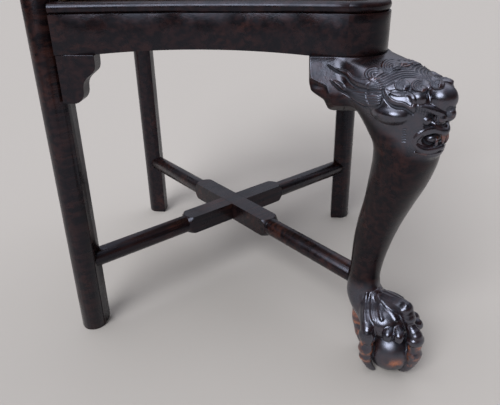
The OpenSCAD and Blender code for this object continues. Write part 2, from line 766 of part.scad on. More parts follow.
// Leaf piercings round a central bead, and a cloud head above the neck.
module splat_piercings() {
    polygon(leaf_half);
    polygon(flipped(leaf_half));
    for (side = [-1, 1]) translate([9 * side, splat_h * 0.86]) circle(d = 20, $fn = 32);
    translate([0, splat_h * 0.86 + 8]) circle(d = 19, $fn = 32);
    polygon([[-14, splat_h * 0.86], [-3, splat_h * 0.75], [3, splat_h * 0.75], [14, splat_h * 0.86]]);
}
module splat() {
    steps = 12;
    at_side(1) intersection() {
        translate([-splat_w, 0, 0]) rotate([90, 0, 90]) linear_extrude(2 * splat_w)
            polygon(concat(
                [
                    for (i = [0 : steps])
                        let (t = i / steps)
                        [-splat_lean(t) - splat_t / 2, mix(splat_z0, splat_z1, t)]
                ],
                [
                    for (i = [steps : -1 : 0])
                        let (t = i / steps)
                        [-splat_lean(t) + splat_t / 2, mix(splat_z0, splat_z1, t)]
                ]
            ));
        translate([0, -splat_y0 + 60, splat_z0]) rotate([90, 0, 0]) linear_extrude(220)
            difference() {
                polygon(concat(splat_half, flipped(splat_half)));
                splat_piercings();
            }
    }
}
module left_splat_shoe() {
    color(wood) in_frame() splat_shoe();
}
module right_splat_shoe() {
    color(wood) in_frame() right_hand() splat_shoe();
}
module left_splat() {
    color(wood) in_frame() splat();
}
module right_splat() {
    color(wood) in_frame() right_hand() splat();
}

// Arms and crest

// Distance of the arm's middle line from the seat's centre, at an angle a from the back.
function bow(a) =
    reach - bow_flat * pow(sin(2 * min(90, max(0, a))), 2) + hand_out * pow(max(0, a - 90) / 16, 2);
function arm_half(a) =
    let (end = arm_sweep + 7, round_a = 7.2)
    mix(arm_w * mix(1, 0.85, ramp(a, 30, 80)), hand_w, ramp(a, 88, arm_sweep - 2)) / 2
        * sqrt(max(0.02, 1 - pow(max(0, a - end + round_a) / round_a, 2)));
// A rectangle's ring with rounded edges, in a plane square to the sweep.
function slab_ring(a, mid, half, z0, z1, edge) = [
    for (quarter = [0 : 3], i = [0 : 3])
        let (
            e = min(edge, half * 0.9),
            turn = 90 - 90 * quarter - 30 * i,
            corner = [quarter < 2 ? 1 : -1, quarter == 0 || quarter == 3 ? 1 : -1],
            out = mid + corner.x * (half - e) + e * cos(turn),
            up = (corner.y > 0 ? z1 - e : z0 + e) + e * sin(turn)
        )
        [-out * sin(a), out * cos(a), up]
];
lap_half = 5; // angle of the half lap on each side of the back
lap_reach = (reach + arm_w) * sin(lap_half);
module arm_body() {
    steps = 34;
    end = arm_sweep + 7;
    skin([
        for (i = [0 : steps])
            let (
                t = i / steps,
                a = i < steps - 8 ? mix(-lap_half, end - 7.2, i / (steps - 8))
                    : end - 7.2 * (1 - sin(90 * (i - steps + 8) / 8))
            )
            slab_ring(a, bow(a), arm_half(a), arm_z0, arm_z, 8)
    ]);
}
// The arms meet at the back in a half lap under the crest.
module arm(keeps_lower) {
    difference() {
        arm_body();
        translate([-lap_reach, reach - 2 * arm_w, keeps_lower ? arm_z0 + arm_t / 2 : arm_z0 - arm_t])
            cube([3 * arm_w, 4 * arm_w, keeps_lower ? arm_t : 1.5 * arm_t + clear]);
        translate([-reach, 0, arm_z0 - 1]) cylinder(r = post_tenon_r + clear, h = post_tenon_l + 1.8, $fn = round_fn);
        translate([0, reach, arm_z0 - 1]) cylinder(r = post_tenon_r + clear, h = post_tenon_l + 1.8, $fn = round_fn);
        at_side(1) translate([-splat_top_w / 2, -splat_y1 - splat_t / 2 - clear - 0.6, arm_z0 - 1])
            cube([splat_top_w, splat_t + 2 * clear + 1.2, splat_z1 - arm_z0 + 1.2]);
        for (a = dowel_angles) dowel(a, clear, dowel_l / 2 + 1);
    }
}
module left_arm() {
    color(wood) in_frame() arm(true);
}
module right_arm() {
    color(wood) in_frame() right_hand() arm(false);
}
// Height of the crest above the arms, falling in steps of curves to its ends.
function crest_h(a) =
    let (t = abs(a) / crest_sweep)
    10 + (crest_rise - 10) * (0.62 * (1 - ramp(t, 0.30, 0.80)) + 0.38 * (1 - ramp(t, 0.0, 0.42)))
        + 5 * exp(-pow((t - 0.86) / 0.09, 2));
module crest_body() {
    steps = 44;
    skin([
        for (i = [0 : steps])
            let (
                s = 2 * i / steps - 1,
                a = crest_sweep * s,
                end = sqrt(max(0.03, 1 - pow(max(0, abs(s) - 0.94) / 0.06, 2))),
                h = max(4, crest_h(a) * end),
                half = crest_t / 2 * mix(0.72, 1, end),
                lean = h * crest_lean
            )
            [
                for (p = slab_ring(a, bow(abs(a)), half, arm_z, arm_z + h, min(7, h * 0.4)))
                    let (up = (p.z - arm_z) / h, k = 1 + lean * up * up / reach)
                    [p.x * k, p.y * k, p.z]
            ]
    ]);
}
dowel_angles = [-24, -8, 8, 24];
dowel_r = 5;
dowel_l = 34;
module dowel(a, grow, half) {
    translate([-bow(abs(a)) * sin(a), bow(abs(a)) * cos(a), arm_z - half])
        cylinder(r = dowel_r + grow, h = 2 * half, $fn = 32);
}
module crest() {
    color(wood) in_frame() difference() {
        crest_body();
        for (a = dowel_angles) dowel(a, clear, dowel_l / 2 + 1);
    }
}
module crest_dowels() {
    color(seat_wood) in_frame() for (a = dowel_angles) dowel(a, 0, dowel_l / 2);
}

// Drop-in seat

seat_edge = rail_wall + seat_clear; // from the rails' face line to the drop-in frame's edge
frame_z = ledge_z + seat_gap;
// Plan of the drop-in seat, in the seat's own axes: hollow fronts, a round front corner and
// notched corners at the three straight legs.
module seat_plan(inset = 0) {
    e = face - seat_edge - inset;
    notch = leg_w + seat_clear - seat_edge + inset;
    r_hollow = hollow_r + seat_edge + inset;
    r_corner = corner_r - seat_edge - inset;
    difference() {
        translate([-e, -e]) square(2 * e);
        // The hollow rails' arcs cut into both front sides.
        translate([hollow_x, hollow_y]) circle(r = r_hollow, $fn = 1080);
        mirror([1, 1]) translate([hollow_x, hollow_y]) circle(r = r_hollow, $fn = 1080);
        // The front corner is cut back to the corner block's arc.
        difference() {
            translate([corner_x, -corner_x - 200]) square([200, 200]);
            translate([corner_x, -corner_x]) circle(r = r_corner, $fn = 96);
        }
        for (at = [[-e, -e], [-e, e - notch], [e - notch, e - notch]])
            translate(at + [at.x < 0 ? -1 : 0, at.y < 0 ? -1 : 0]) square(notch + 1);
        children();
    }
}
module seat_axes() {
    rotate([0, 0, -45]) children();
}
// One rail of the drop-in frame. The rails of sides 0 and 2 lap under the other two.
module seat_rail(side) {
    e = face - seat_edge;
    under = side % 2 == 0;
    lap_z = frame_t / 2 + (under ? -clear / 2 : clear / 2);
    translate([0, 0, frame_z]) difference() {
        seat_axes() linear_extrude(frame_t) intersection() {
            seat_plan();
            rotate(-90 * side) translate([-e - 1, -e - 20]) square([2 * e + 2, frame_w + 20]);
        }
        seat_axes() rotate(-90 * side) for (end = [-e - 30, e - frame_w - clear])
            translate([end, -e - 30, under ? lap_z : lap_z - frame_t])
                cube([frame_w + 30 + clear, frame_w + 31, frame_t]);
    }
}
module seat_frame_front_left() {
    color(seat_wood) in_frame() seat_rail(0);
}
module seat_frame_rear_left() {
    color(seat_wood) in_frame() seat_rail(1);
}
module seat_frame_rear_right() {
    color(seat_wood) in_frame() seat_rail(2);
}
module seat_frame_front_right() {
    color(seat_wood) in_frame() seat_rail(3);
}
web_t = 1.6;
web_z = frame_z + frame_t;
web_pitch = 74;
// Straps both ways, the second set lying on the first.
module seat_webbing() {
    long = 2 * (face - seat_edge) - 24;
    color(webbing_cloth) in_frame() translate([0, 0, web_z]) seat_axes() intersection() {
        union() for (i = [-2 : 2]) {
            translate([-long / 2, i * web_pitch - web_w / 2, 0]) cube([long, web_w, web_t]);
            translate([i * web_pitch - web_w / 2, -long / 2, web_t]) cube([web_w, long, web_t]);
        }
        translate([0, 0, -1]) linear_extrude(10) seat_plan(12);
    }
}
cloth_z = web_z + 2 * web_t;
cloth_t = 1.2;
module seat_base_cloth() {
    color(webbing_cloth) in_frame() translate([0, 0, cloth_z]) seat_axes()
        linear_extrude(cloth_t) seat_plan(8);
}
pad_z = cloth_z + cloth_t;
// Distance from the seat's middle to the plan's edge in the direction a, in the seat's own axes.
pad_inset = 0.8;
function side_hit(a, hx, hy, r) =
    let (b = hx * cos(a) + hy * sin(a), c = hx * hx + hy * hy - r * r, d = b * b - c)
    b <= 0 || d < 0 ? 1e6 : b - sqrt(d);
function pad_edge_at(a) =
    let (
        e = face - seat_edge - pad_inset,
        notch = leg_w + seat_clear - seat_edge + pad_inset,
        r_hollow = hollow_r + seat_edge + pad_inset,
        // The rear sides bow out a little towards their middles.
        slant = min(abs(cos(a)), abs(sin(a))) / max(abs(cos(a)), abs(sin(a))),
        square_hit = (e - 1.5 * slant * slant) / max(abs(cos(a)), abs(sin(a))),
        in_notch = e - notch,
        notch_hit = in_notch / min(abs(cos(a)), abs(sin(a)) + eps),
        front = cos(a) > 0 && sin(a) < 0,
        d = (corner_x * cos(a) - corner_x * sin(a)),
        r = corner_r - seat_edge - pad_inset,
        round_hit = d + sqrt(max(0, d * d - 2 * corner_x * corner_x + r * r))
    )
    min(
        side_hit(a, hollow_x, hollow_y, r_hollow),
        side_hit(a, -hollow_y, -hollow_x, r_hollow),
        front && abs(cos(a) + sin(a)) < 0.16 ? round_hit : square_hit,
        front ? 1e6 : square_hit > norm([e, in_notch]) ? max(norm([in_notch, in_notch]), notch_hit) : 1e6
    );
// The pad rises steeply at its edge and then swells to a low crown, which is round at the middle.
module seat_pad() {
    around = 60;
    shares = [1, 0.999, 0.985, 0.95, 0.88, 0.76, 0.6, 0.42, 0.24, 0.1];
    lifts = concat(
        [0, pad_edge * 0.7],
        [for (up = [0, 0.16, 0.37, 0.62, 0.82, 0.93, 0.985, 1]) pad_edge + pad_crown * up]
    );
    color(leather) in_frame() translate([0, 0, pad_z]) seat_axes()
        intersection() {
            linear_extrude(pad_edge + pad_crown + 1) seat_plan(0.5);
            skin([
                for (i = [0 : len(shares) - 1])
                    let (t = shares[i], squareness = min(1, 1.5 * t))
                    [
                        for (k = [0 : around - 1])
                            let (a = 360 * k / around, r = t * mix(face, pad_edge_at(a), squareness))
                            [r * cos(a), r * sin(a), lifts[i]]
                    ]
            ]);
        }
}

front_leg();
left_leg();
right_leg();
rear_leg();
front_left_rail();
front_right_rail();
rear_left_rail();
rear_right_rail();
left_knee_bracket();
right_knee_bracket();
left_side_bracket();
right_side_bracket();
side_stretcher();
front_stretcher();
left_splat_shoe();
right_splat_shoe();
left_splat();
right_splat();
left_arm();
right_arm();
crest();
crest_dowels();
seat_frame_front_left();
seat_frame_front_right();
seat_frame_rear_left();
seat_frame_rear_right();
seat_webbing();
seat_base_cloth();
seat_pad();
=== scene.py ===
"""The looks of the corner armchair: its carved front leg, finishes, leather seat, light and camera."""

import math

import bpy
import numpy as np
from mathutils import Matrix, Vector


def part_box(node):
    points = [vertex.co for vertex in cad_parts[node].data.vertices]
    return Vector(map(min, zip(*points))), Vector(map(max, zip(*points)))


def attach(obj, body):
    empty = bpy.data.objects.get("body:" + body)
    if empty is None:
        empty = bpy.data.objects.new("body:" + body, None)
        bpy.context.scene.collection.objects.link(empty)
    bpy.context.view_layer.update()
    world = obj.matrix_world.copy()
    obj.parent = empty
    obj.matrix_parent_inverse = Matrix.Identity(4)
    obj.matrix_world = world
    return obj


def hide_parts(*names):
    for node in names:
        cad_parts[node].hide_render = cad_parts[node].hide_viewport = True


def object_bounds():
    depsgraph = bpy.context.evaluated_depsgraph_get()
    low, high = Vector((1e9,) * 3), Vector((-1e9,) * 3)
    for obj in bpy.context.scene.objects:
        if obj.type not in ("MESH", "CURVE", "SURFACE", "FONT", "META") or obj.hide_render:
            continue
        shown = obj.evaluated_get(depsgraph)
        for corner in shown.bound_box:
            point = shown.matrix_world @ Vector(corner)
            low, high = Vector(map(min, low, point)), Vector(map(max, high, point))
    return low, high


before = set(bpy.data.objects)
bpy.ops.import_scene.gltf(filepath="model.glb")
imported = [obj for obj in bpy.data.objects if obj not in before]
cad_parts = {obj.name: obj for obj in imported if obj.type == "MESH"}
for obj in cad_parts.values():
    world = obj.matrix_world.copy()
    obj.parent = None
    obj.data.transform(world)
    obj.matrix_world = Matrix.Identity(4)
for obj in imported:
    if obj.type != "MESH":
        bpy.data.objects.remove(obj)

import openvdb
from mathutils import Matrix, Vector
from mathutils.bvhtree import BVHTree

cad_low, cad_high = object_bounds()

# Sizes that the part's source also names, in millimetres from the seat's centre
SEAT_H = 494.0
RAIL_H = 61.0
RAIL_Z = SEAT_H - RAIL_H
FACE = 224.0
CORNER_CUT = 52.0
JOINT_U = FACE - CORNER_CUT
HOLLOW = math.radians(8.94)
CORNER_R = CORNER_CUT / (math.cos(HOLLOW) + math.sin(HOLLOW))
CORNER_OUT = (JOINT_U + CORNER_R * math.sin(HOLLOW)) * math.sqrt(2)
BALL_OUT = 364.0
BALL_R = 34.0
ANKLE_OUT = 307.0
stretcher_low, stretcher_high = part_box("side_stretcher")
SHIFT_Y = (stretcher_low.y + stretcher_high.y) / 2

# The photograph's camera: its place in metres, swing, tilt and roll in degrees, lens and sensor in mm
CAMERA_AT = Vector((-0.5267, -0.6610, 0.5661))
CAMERA_TURN = (-38.461, 63.372, -1.086)
CAMERA_LENS = 38.894
CAMERA_SENSOR = 36.0


def camera_rotation():
    swing, tilt, roll = (math.radians(a) for a in CAMERA_TURN)
    return Matrix.Rotation(swing, 3, "Z") @ Matrix.Rotation(tilt, 3, "X") @ Matrix.Rotation(roll, 3, "Z")


def new_object(name, data):
    added = bpy.data.objects.new(name, data)
    bpy.context.scene.collection.objects.link(added)
    return added


def add_camera():
    data = bpy.data.cameras.new("camera")
    data.lens = CAMERA_LENS
    data.sensor_width = CAMERA_SENSOR
    camera = new_object("camera", data)
    camera.matrix_world = Matrix.Translation(CAMERA_AT) @ camera_rotation().to_4x4()
    bpy.context.scene.camera = camera


# Turns that lay a material's grain along a piece
UPRIGHT = (0, math.radians(90), 0)
ALONG_LEFT = (0, 0, math.radians(45))
ALONG_RIGHT = (0, 0, math.radians(-45))
ACROSS = (0, 0, 0)
FORWARD = (0, 0, math.radians(90))


# Materials, with a colour mix node's sockets for the share and the two colours, and its colour output
MIX_INPUTS = (0, 6, 7)
MIX_OUTPUT = 2


class Nodes:
    """The nodes of a material or of the world, with short calls to add and join them."""

    def __init__(self, owner, shader="BsdfPrincipled", output="OutputMaterial"):
        owner.use_nodes = True
        self.owner = owner
        self.tree = owner.node_tree
        self.tree.nodes.clear()
        self.shader = self.add(shader)
        self.link(self.shader.outputs[0], self.add(output).inputs["Surface"])

    def link(self, source, target):
        self.tree.links.new(source, target)

    def feed(self, socket, value):
        """Gives a socket a number, a colour or what another node puts out."""
        if isinstance(value, (int, float)):
            socket.default_value = value
        elif isinstance(value, tuple):
            socket.default_value = (*value, 1.0)
        else:
            self.link(value, socket)

    def add(self, kind, **values):
        node = self.tree.nodes.new("ShaderNode" + kind)
        for key, value in values.items():
            if hasattr(node, key):
                setattr(node, key, value)
            else:
                node.inputs[key.replace("_", " ")].default_value = value
        return node

    def place(self, scale, turn=(0, 0, 0)):
        """Object coordinates in metres, turned and then stretched."""
        mapping = self.add("Mapping", Rotation=turn, Scale=scale)
        self.link(self.add("TexCoord").outputs["Object"], mapping.inputs["Vector"])
        return mapping.outputs["Vector"]

    def noise(self, vector, scale, detail=3.0, rough=0.55, distort=0.0):
        node = self.add("TexNoise", Scale=scale, Detail=detail, Roughness=rough, Distortion=distort)
        self.link(vector, node.inputs["Vector"])
        return node.outputs["Fac"]

    def painted(self, name):
        """A measure that the mesh carries for each of its points."""
        return self.add("Attribute", attribute_name=name).outputs["Fac"]

    def spread(self, value, low, high, to_low=0.0, to_high=1.0):
        node = self.add("MapRange", clamp=True, From_Min=low, From_Max=high, To_Min=to_low, To_Max=to_high)
        self.link(value, node.inputs["Value"])
        return node.outputs["Result"]

    def math(self, operation, a, b):
        node = self.add("Math", operation=operation)
        for socket, value in zip(node.inputs, (a, b)):
            self.feed(socket, value)
        return node.outputs["Value"]

    def mix(self, share, a, b):
        node = self.add("Mix", data_type="RGBA")
        for i, value in zip(MIX_INPUTS, (share, a, b)):
            self.feed(node.inputs[i], value)
        return node.outputs[MIX_OUTPUT]

    def bump(self, height, distance, strength, normal=None):
        node = self.add("Bump", Distance=distance, Strength=strength)
        self.link(height, node.inputs["Height"])
        if normal is not None:
            self.link(normal, node.inputs["Normal"])
        return node.outputs["Normal"]

    def finish(self, **sockets):
        for key, value in sockets.items():
            self.feed(self.shader.inputs[key.replace("_", " ")], value)
        return self.owner


def material_nodes(name):
    return Nodes(bpy.data.materials.new(name))


# Colours of the old hardwood, its streaks, and where it is rubbed, worn through, or dirty and darkened by
# painted shade in its hollows
WOOD_DARK = (0.0045, 0.0026, 0.0030)
WOOD_STREAK = (0.0190, 0.0080, 0.0074)
WOOD_WARM = (0.062, 0.0200, 0.0120)
WOOD_RUBBED = (0.125, 0.040, 0.020)
WOOD_BARE = (0.42, 0.125, 0.035)
# Near-black for the hollows: dirt and old wax, and painted shade where the light doesn't reach
WOOD_DIRT_AND_SHADE = (0.0020, 0.0015, 0.0016)
POLISH_TINT = (0.76, 0.81, 1.0)
# The gloss of plain wood, and that of the carving from where it is dull to where it is polished
PLAIN_GLOSS, PLAIN_IOR = 0.40, 1.50
CARVED_GLOSS, CARVED_IOR = (0.17, 1.0), 1.68


def dark_wood(name, grain_turn, carved=False, rub=0.0):
    """Old dark hardwood under worn polish, with its grain along the local X axis after the turn."""
    n = material_nodes(name)
    even = n.place((1, 1, 1))
    streaks = n.noise(n.place((9, 130, 130), grain_turn), 1.0, 5.0, 0.62, 0.35)
    pores = n.noise(n.place((40, 900, 900), grain_turn), 1.0, 2.0, 0.5)
    clouds = n.noise(even, 16.0, 3.0, 0.55)
    smudges = n.noise(even, 55.0, 4.0, 0.6)
    base = n.mix(n.spread(streaks, 0.42, 0.62), WOOD_DARK, WOOD_STREAK)
    warm = n.math("MULTIPLY", n.spread(clouds, 0.50, 0.68), n.spread(streaks, 0.40, 0.60))
    base = n.mix(n.math("MULTIPLY", warm, 0.24 if carved else 0.45 + rub), base, WOOD_WARM)
    rough = n.spread(n.noise(even, 30.0, 4.0, 0.6), 0.35, 0.7, 0.22, 0.38)
    gloss, index = PLAIN_GLOSS, PLAIN_IOR
    if carved:
        gloss, index = n.spread(n.painted("polish"), 0.0, 1.0, *CARVED_GLOSS), CARVED_IOR
        rubbed = n.math("MULTIPLY", n.spread(n.painted("edge"), 0.30, 0.75), n.spread(smudges, 0.44, 0.64))
        base = n.mix(n.math("MULTIPLY", rubbed, 0.75), base, WOOD_RUBBED)
        bare = n.math("MULTIPLY", n.painted("tips"), n.spread(smudges, 0.42, 0.56))
        base = n.mix(bare, base, WOOD_BARE)
        # Hollows and grooves are darkened almost to black: partly dirt and old wax, partly painted shade
        deep = n.spread(n.painted("hollow"), 0.30, 0.80)
        base = n.mix(n.math("MULTIPLY", deep, 0.9), base, WOOD_DIRT_AND_SHADE)
        rough = n.math("MAXIMUM", rough, n.math("MULTIPLY", deep, 0.75))
    normal = n.bump(n.math("MULTIPLY", streaks, 0.5), 0.00035, 0.5)
    normal = n.bump(pores, 0.00012, 0.6, normal)
    normal = n.bump(n.noise(even, 70.0, 3.0), 0.0009, 0.25, normal)
    return n.finish(
        Base_Color=base, Roughness=rough, Normal=normal, IOR=index,
        Specular_IOR_Level=gloss, Specular_Tint=POLISH_TINT,
    )


def raw_wood(name):
    """The unpolished beech of the drop-in seat and the dowels."""
    n = material_nodes(name)
    streaks = n.noise(n.place((12, 90, 90), ALONG_LEFT), 1.0, 5.0, 0.6, 0.4)
    fine = n.noise(n.place((60, 700, 700), ALONG_LEFT), 1.0, 2.0)
    base = n.mix(n.spread(streaks, 0.35, 0.65), (0.16, 0.088, 0.045), (0.25, 0.150, 0.080))
    base = n.mix(n.spread(fine, 0.60, 0.75, 0.0, 0.5), base, (0.10, 0.052, 0.027))
    normal = n.bump(streaks, 0.0004, 0.6)
    return n.finish(Base_Color=base, Roughness=0.62, Normal=normal, IOR=1.45)


def woven(name, light, dark, pitch):
    """Plain weave, with threads along the seat's sides and this many metres apart."""
    n = material_nodes(name)
    place = n.place((1, 1, 1), ALONG_LEFT)
    bands = []
    for direction in ("X", "Y"):
        wave = n.add(
            "TexWave", wave_type="BANDS", bands_direction=direction, wave_profile="SIN",
            Scale=math.pi / 10 / pitch, Distortion=0.6, Detail_Scale=2.0,
        )
        n.link(place, wave.inputs["Vector"])
        bands.append(wave.outputs["Fac"])
    weave = n.math("MAXIMUM", *bands)
    fibres = n.noise(place, 1400.0, 2.0)
    base = n.mix(n.spread(weave, 0.55, 1.0), dark, light)
    base = n.mix(n.spread(fibres, 0.4, 0.7, 0.0, 0.35), base, dark)
    normal = n.bump(weave, pitch * 0.4, 0.8)
    return n.finish(Base_Color=base, Roughness=0.9, Normal=normal, Sheen_Weight=0.2, IOR=1.45)


def leather(name):
    """Dark brown seat leather, clouded, creased and rubbed paler along the creases."""
    n = material_nodes(name)
    even = n.place((1, 1, 1))
    cells = n.add("TexVoronoi", feature="DISTANCE_TO_EDGE", Scale=620.0, Randomness=1.0)
    n.link(even, cells.inputs["Vector"])
    grain = n.spread(cells.outputs["Distance"], 0.0, 0.22)
    clouds = n.noise(even, 9.0, 5.0, 0.6)
    creases = n.noise(even, 60.0, 6.0, 0.7, 1.2)
    base = n.mix(n.spread(clouds, 0.35, 0.68), (0.036, 0.017, 0.011), (0.105, 0.050, 0.030))
    base = n.mix(n.spread(creases, 0.56, 0.62, 0.0, 0.5), base, (0.16, 0.085, 0.052))
    base = n.mix(n.spread(grain, 0.0, 0.5, 0.55, 0.0), base, (0.020, 0.010, 0.007))
    normal = n.bump(grain, 0.00030, 0.7)
    normal = n.bump(creases, 0.0006, 0.35, normal)
    rough = n.spread(clouds, 0.35, 0.7, 0.52, 0.38)
    return n.finish(Base_Color=base, Roughness=rough, Normal=normal, IOR=1.48, Sheen_Weight=0.05)


# Modelling in millimetres: side from the chair's middle plane, out from the seat's centre, and height.
# No distance in the clay is taken to be more than this
FAR = 20.0


def smooth_join(a, b, blend):
    near = np.maximum(blend - np.abs(a - b), 0) / blend
    return np.minimum(a, b) - near * near * (blend * 0.25)


def smooth_cut(a, b, blend):
    return -smooth_join(-a, b, blend)


def smoothstep(x, low, high):
    t = np.clip((x - low) / (high - low), 0, 1)
    return t * t * (3 - 2 * t)


def curve_through(rows, between=4):
    """Rows of numbers joined by a cardinal spline."""
    rows = np.array(rows, float)
    padded = np.vstack([rows[:1], rows, rows[-1:]])
    t = np.arange(between)[:, None] / between
    spans = []
    for a, b, c, d in zip(padded, padded[1:], padded[2:], padded[3:]):
        bend, twist = 2 * a - 5 * b + 4 * c - d, 3 * b - a - 3 * c + d
        spans.append(0.5 * (2 * b + (c - a) * t + bend * t**2 + twist * t**3))
    return np.vstack(spans + [rows[-1:]])


def egg(centre, radii):
    """Distance to an ellipsoid."""
    a, b, h = radii

    def distance(side, out, z):
        x, y, w = side - centre[0], out - centre[1], z - centre[2]
        near = np.sqrt((x / a) ** 2 + (y / b) ** 2 + (w / h) ** 2) + 1e-6
        slope = np.sqrt((x / a**2) ** 2 + (y / b**2) ** 2 + (w / h**2) ** 2) + 1e-6
        return near * (near - 1) / slope

    return distance


def chain_distance(rows):
    """Distance to a chain of round limbs through rows of side, out, height and radius."""

    def distance(side, out, z):
        best = np.inf
        for (ax, ay, az, ar), (bx, by, bz, br) in zip(rows, rows[1:]):
            dx, dy, dz = bx - ax, by - ay, bz - az
            length = dx * dx + dy * dy + dz * dz + 1e-9
            t = np.clip(((side - ax) * dx + (out - ay) * dy + (z - az) * dz) / length, 0, 1)
            d = np.sqrt((side - ax - t * dx) ** 2 + (out - ay - t * dy) ** 2 + (z - az - t * dz) ** 2)
            best = np.minimum(best, d - (ar + t * (br - ar)))
        return best

    return distance


class Clay:
    """Half of the carved leg as a field of distances, below nought inside the wood."""

    def __init__(self, low, high, voxel):
        self.voxel = voxel
        self.axes = [np.arange(a, b + voxel, voxel) for a, b in zip(low, high)]
        self.low = np.array([axis[0] for axis in self.axes])
        self.field = np.full([len(axis) for axis in self.axes], FAR, np.float32)
        # Where grooves are cut, to be darkened as dirt and painted shade
        self.groove_dirt_and_shade = np.zeros_like(self.field)

    def window(self, low, high):
        cuts = []
        for axis, a, b in zip(self.axes, low, high):
            first = int(np.clip((a - axis[0]) // self.voxel, 0, len(axis) - 1))
            last = int(np.clip((b - axis[0]) // self.voxel + 2, first + 1, len(axis)))
            cuts.append(slice(first, last))
        places = np.meshgrid(*(axis[c] for axis, c in zip(self.axes, cuts)), indexing="ij", sparse=True)
        return tuple(cuts), places

    def change(self, shape, low, high, blend, rule):
        margin = blend + 1 if rule is smooth_cut else blend + 7
        cuts, places = self.window(np.subtract(low, margin), np.add(high, margin))
        self.field[cuts] = rule(self.field[cuts], shape(*places), blend)

    def add_egg(self, centre, radii, blend, rule=smooth_join):
        reach = max(radii)
        self.change(egg(centre, radii), np.subtract(centre, reach), np.add(centre, reach), blend, rule)

    def cut_egg(self, centre, radii, blend):
        self.add_egg(centre, radii, blend, smooth_cut)

    def add_limb(self, rows, blend, between=3):
        rows = curve_through(rows, between)
        reach = rows[:, 3:].max()
        low, high = rows[:, :3].min(0) - reach, rows[:, :3].max(0) + reach
        self.change(chain_distance(rows), low, high, blend, smooth_join)

    def score(self, rows):
        """Cuts a groove along rows of side, out, height and radius, and marks it to be darkened as dirt and
        painted shade.
        """
        blend = 0.3
        reach = rows[:, 3].max() + blend + 1
        cuts, places = self.window(rows[:, :3].min(0) - reach, rows[:, :3].max(0) + reach)
        distance = chain_distance(rows)(*places)
        self.field[cuts] = smooth_cut(self.field[cuts], distance, blend)
        self.groove_dirt_and_shade[cuts] = np.maximum(self.groove_dirt_and_shade[cuts], np.clip(0.75 - distance / 0.9, 0, 1))

    def level(self, steepest=1.5):
        """Divides the field by its slope, which makes it a true distance near the surface."""
        slopes = np.gradient(self.field, self.voxel)
        size = np.sqrt(slopes[0] ** 2 + slopes[1] ** 2 + slopes[2] ** 2)
        self.field /= np.clip(size, 0.25, steepest)

    def soften(self):
        """Evens the field out over a voxel, which takes thin flakes off the carving."""
        for axis in range(3):
            padded = np.pad(self.field, [(int(i == axis),) * 2 for i in range(3)], mode="edge")
            count = self.field.shape[axis]
            parts = [np.take(padded, range(i, i + count), axis) for i in range(3)]
            self.field = parts[0] * 0.2 + parts[1] * 0.6 + parts[2] * 0.2

    def limit(self):
        self.field = np.clip(self.field, -FAR, FAR)

    def at(self, points, field=None):
        """The field, or another of the same size, between voxels."""
        field = self.field if field is None else field
        places = (points - self.low) / self.voxel
        places = np.clip(places, 0, np.array(self.field.shape) - 1.001)
        base = places.astype(int)
        share = places - base
        value = 0
        for corner in np.ndindex(2, 2, 2):
            weight = np.prod(np.where(corner, share, 1 - share), axis=-1)
            value = value + weight * field[tuple((base + corner).T)]
        return value

    def normals(self, points):
        steps = np.eye(3) * self.voxel
        slope = np.stack([self.at(points + step) - self.at(points - step) for step in steps], axis=1)
        return slope / np.maximum(np.linalg.norm(slope, axis=1, keepdims=True), 1e-6)


# How far from the drawing plane a ray looks for the clay, and in what steps
RAY_REACH = 90
RAY_STEP = 0.7


class Sight:
    """The carver's drawing plane: mm to the right and up from an anchor, seen from the camera."""

    def __init__(self, anchor):
        turn = np.array(camera_rotation())
        flip = np.array([-1.0, -1.0, 1.0])
        self.right, self.up, self.ahead = turn[:, 0] * flip, turn[:, 1] * flip, -turn[:, 2] * flip
        eye = np.array(CAMERA_AT) * 1000
        self.eye = np.array([-eye[0], SHIFT_Y * 1000 - eye[1], eye[2]])
        self.anchor = np.array(anchor, float)
        self.depth = (self.anchor - self.eye) @ self.ahead

    def drawn(self, side, out, z):
        """Where points appear on the drawing plane."""
        x, y, w = side - self.eye[0], out - self.eye[1], z - self.eye[2]
        right, up, depth = (x * a[0] + y * a[1] + w * a[2] for a in (self.right, self.up, self.ahead))
        scale = self.depth / depth
        middle = self.anchor - self.eye
        return right * scale - middle @ self.right, up * scale - middle @ self.up

    def on_surface(self, clay, drawn):
        """The first points of the clay that the drawn points' rays meet."""
        drawn = np.asarray(drawn, float)
        targets = self.anchor + drawn[:, :1] * self.right + drawn[:, 1:2] * self.up
        rays = targets - self.eye
        rays /= np.linalg.norm(rays, axis=1, keepdims=True)
        steps = np.arange(-RAY_REACH, RAY_REACH, RAY_STEP)
        samples = targets[:, None] + rays[:, None] * steps[None, :, None]
        values = clay.at(samples.reshape(-1, 3)).reshape(samples.shape[:2])
        inside = values < 0
        first = np.argmax(inside, axis=1)
        first = np.where(inside.any(axis=1), first, len(steps) // 2)
        first = np.maximum(first, 1)
        rows = np.arange(len(drawn))
        before, after = values[rows, first - 1], values[rows, first]
        share = np.clip(before / np.maximum(before - after, 1e-6), 0, 1)
        return targets + rays * (steps[first - 1] + share * RAY_STEP)[:, None]


def outline_distance(outline, s, t):
    """Signed distance to a closed outline, below nought inside."""
    best = np.full(s.shape, 1e9)
    inside = np.zeros(s.shape, bool)
    for (ax, ay), (bx, by) in zip(outline, np.roll(outline, -1, axis=0)):
        dx, dy = bx - ax, by - ay
        share = np.clip(((s - ax) * dx + (t - ay) * dy) / (dx * dx + dy * dy + 1e-9), 0, 1)
        best = np.minimum(best, (s - ax - share * dx) ** 2 + (t - ay - share * dy) ** 2)
        crosses = (ay > t) != (by > t)
        slope = (bx - ax) / (by - ay if abs(by - ay) > 1e-9 else 1e-9)
        inside ^= crosses & (s < (t - ay) * slope + ax)
    return np.where(inside, -1, 1) * np.sqrt(best)


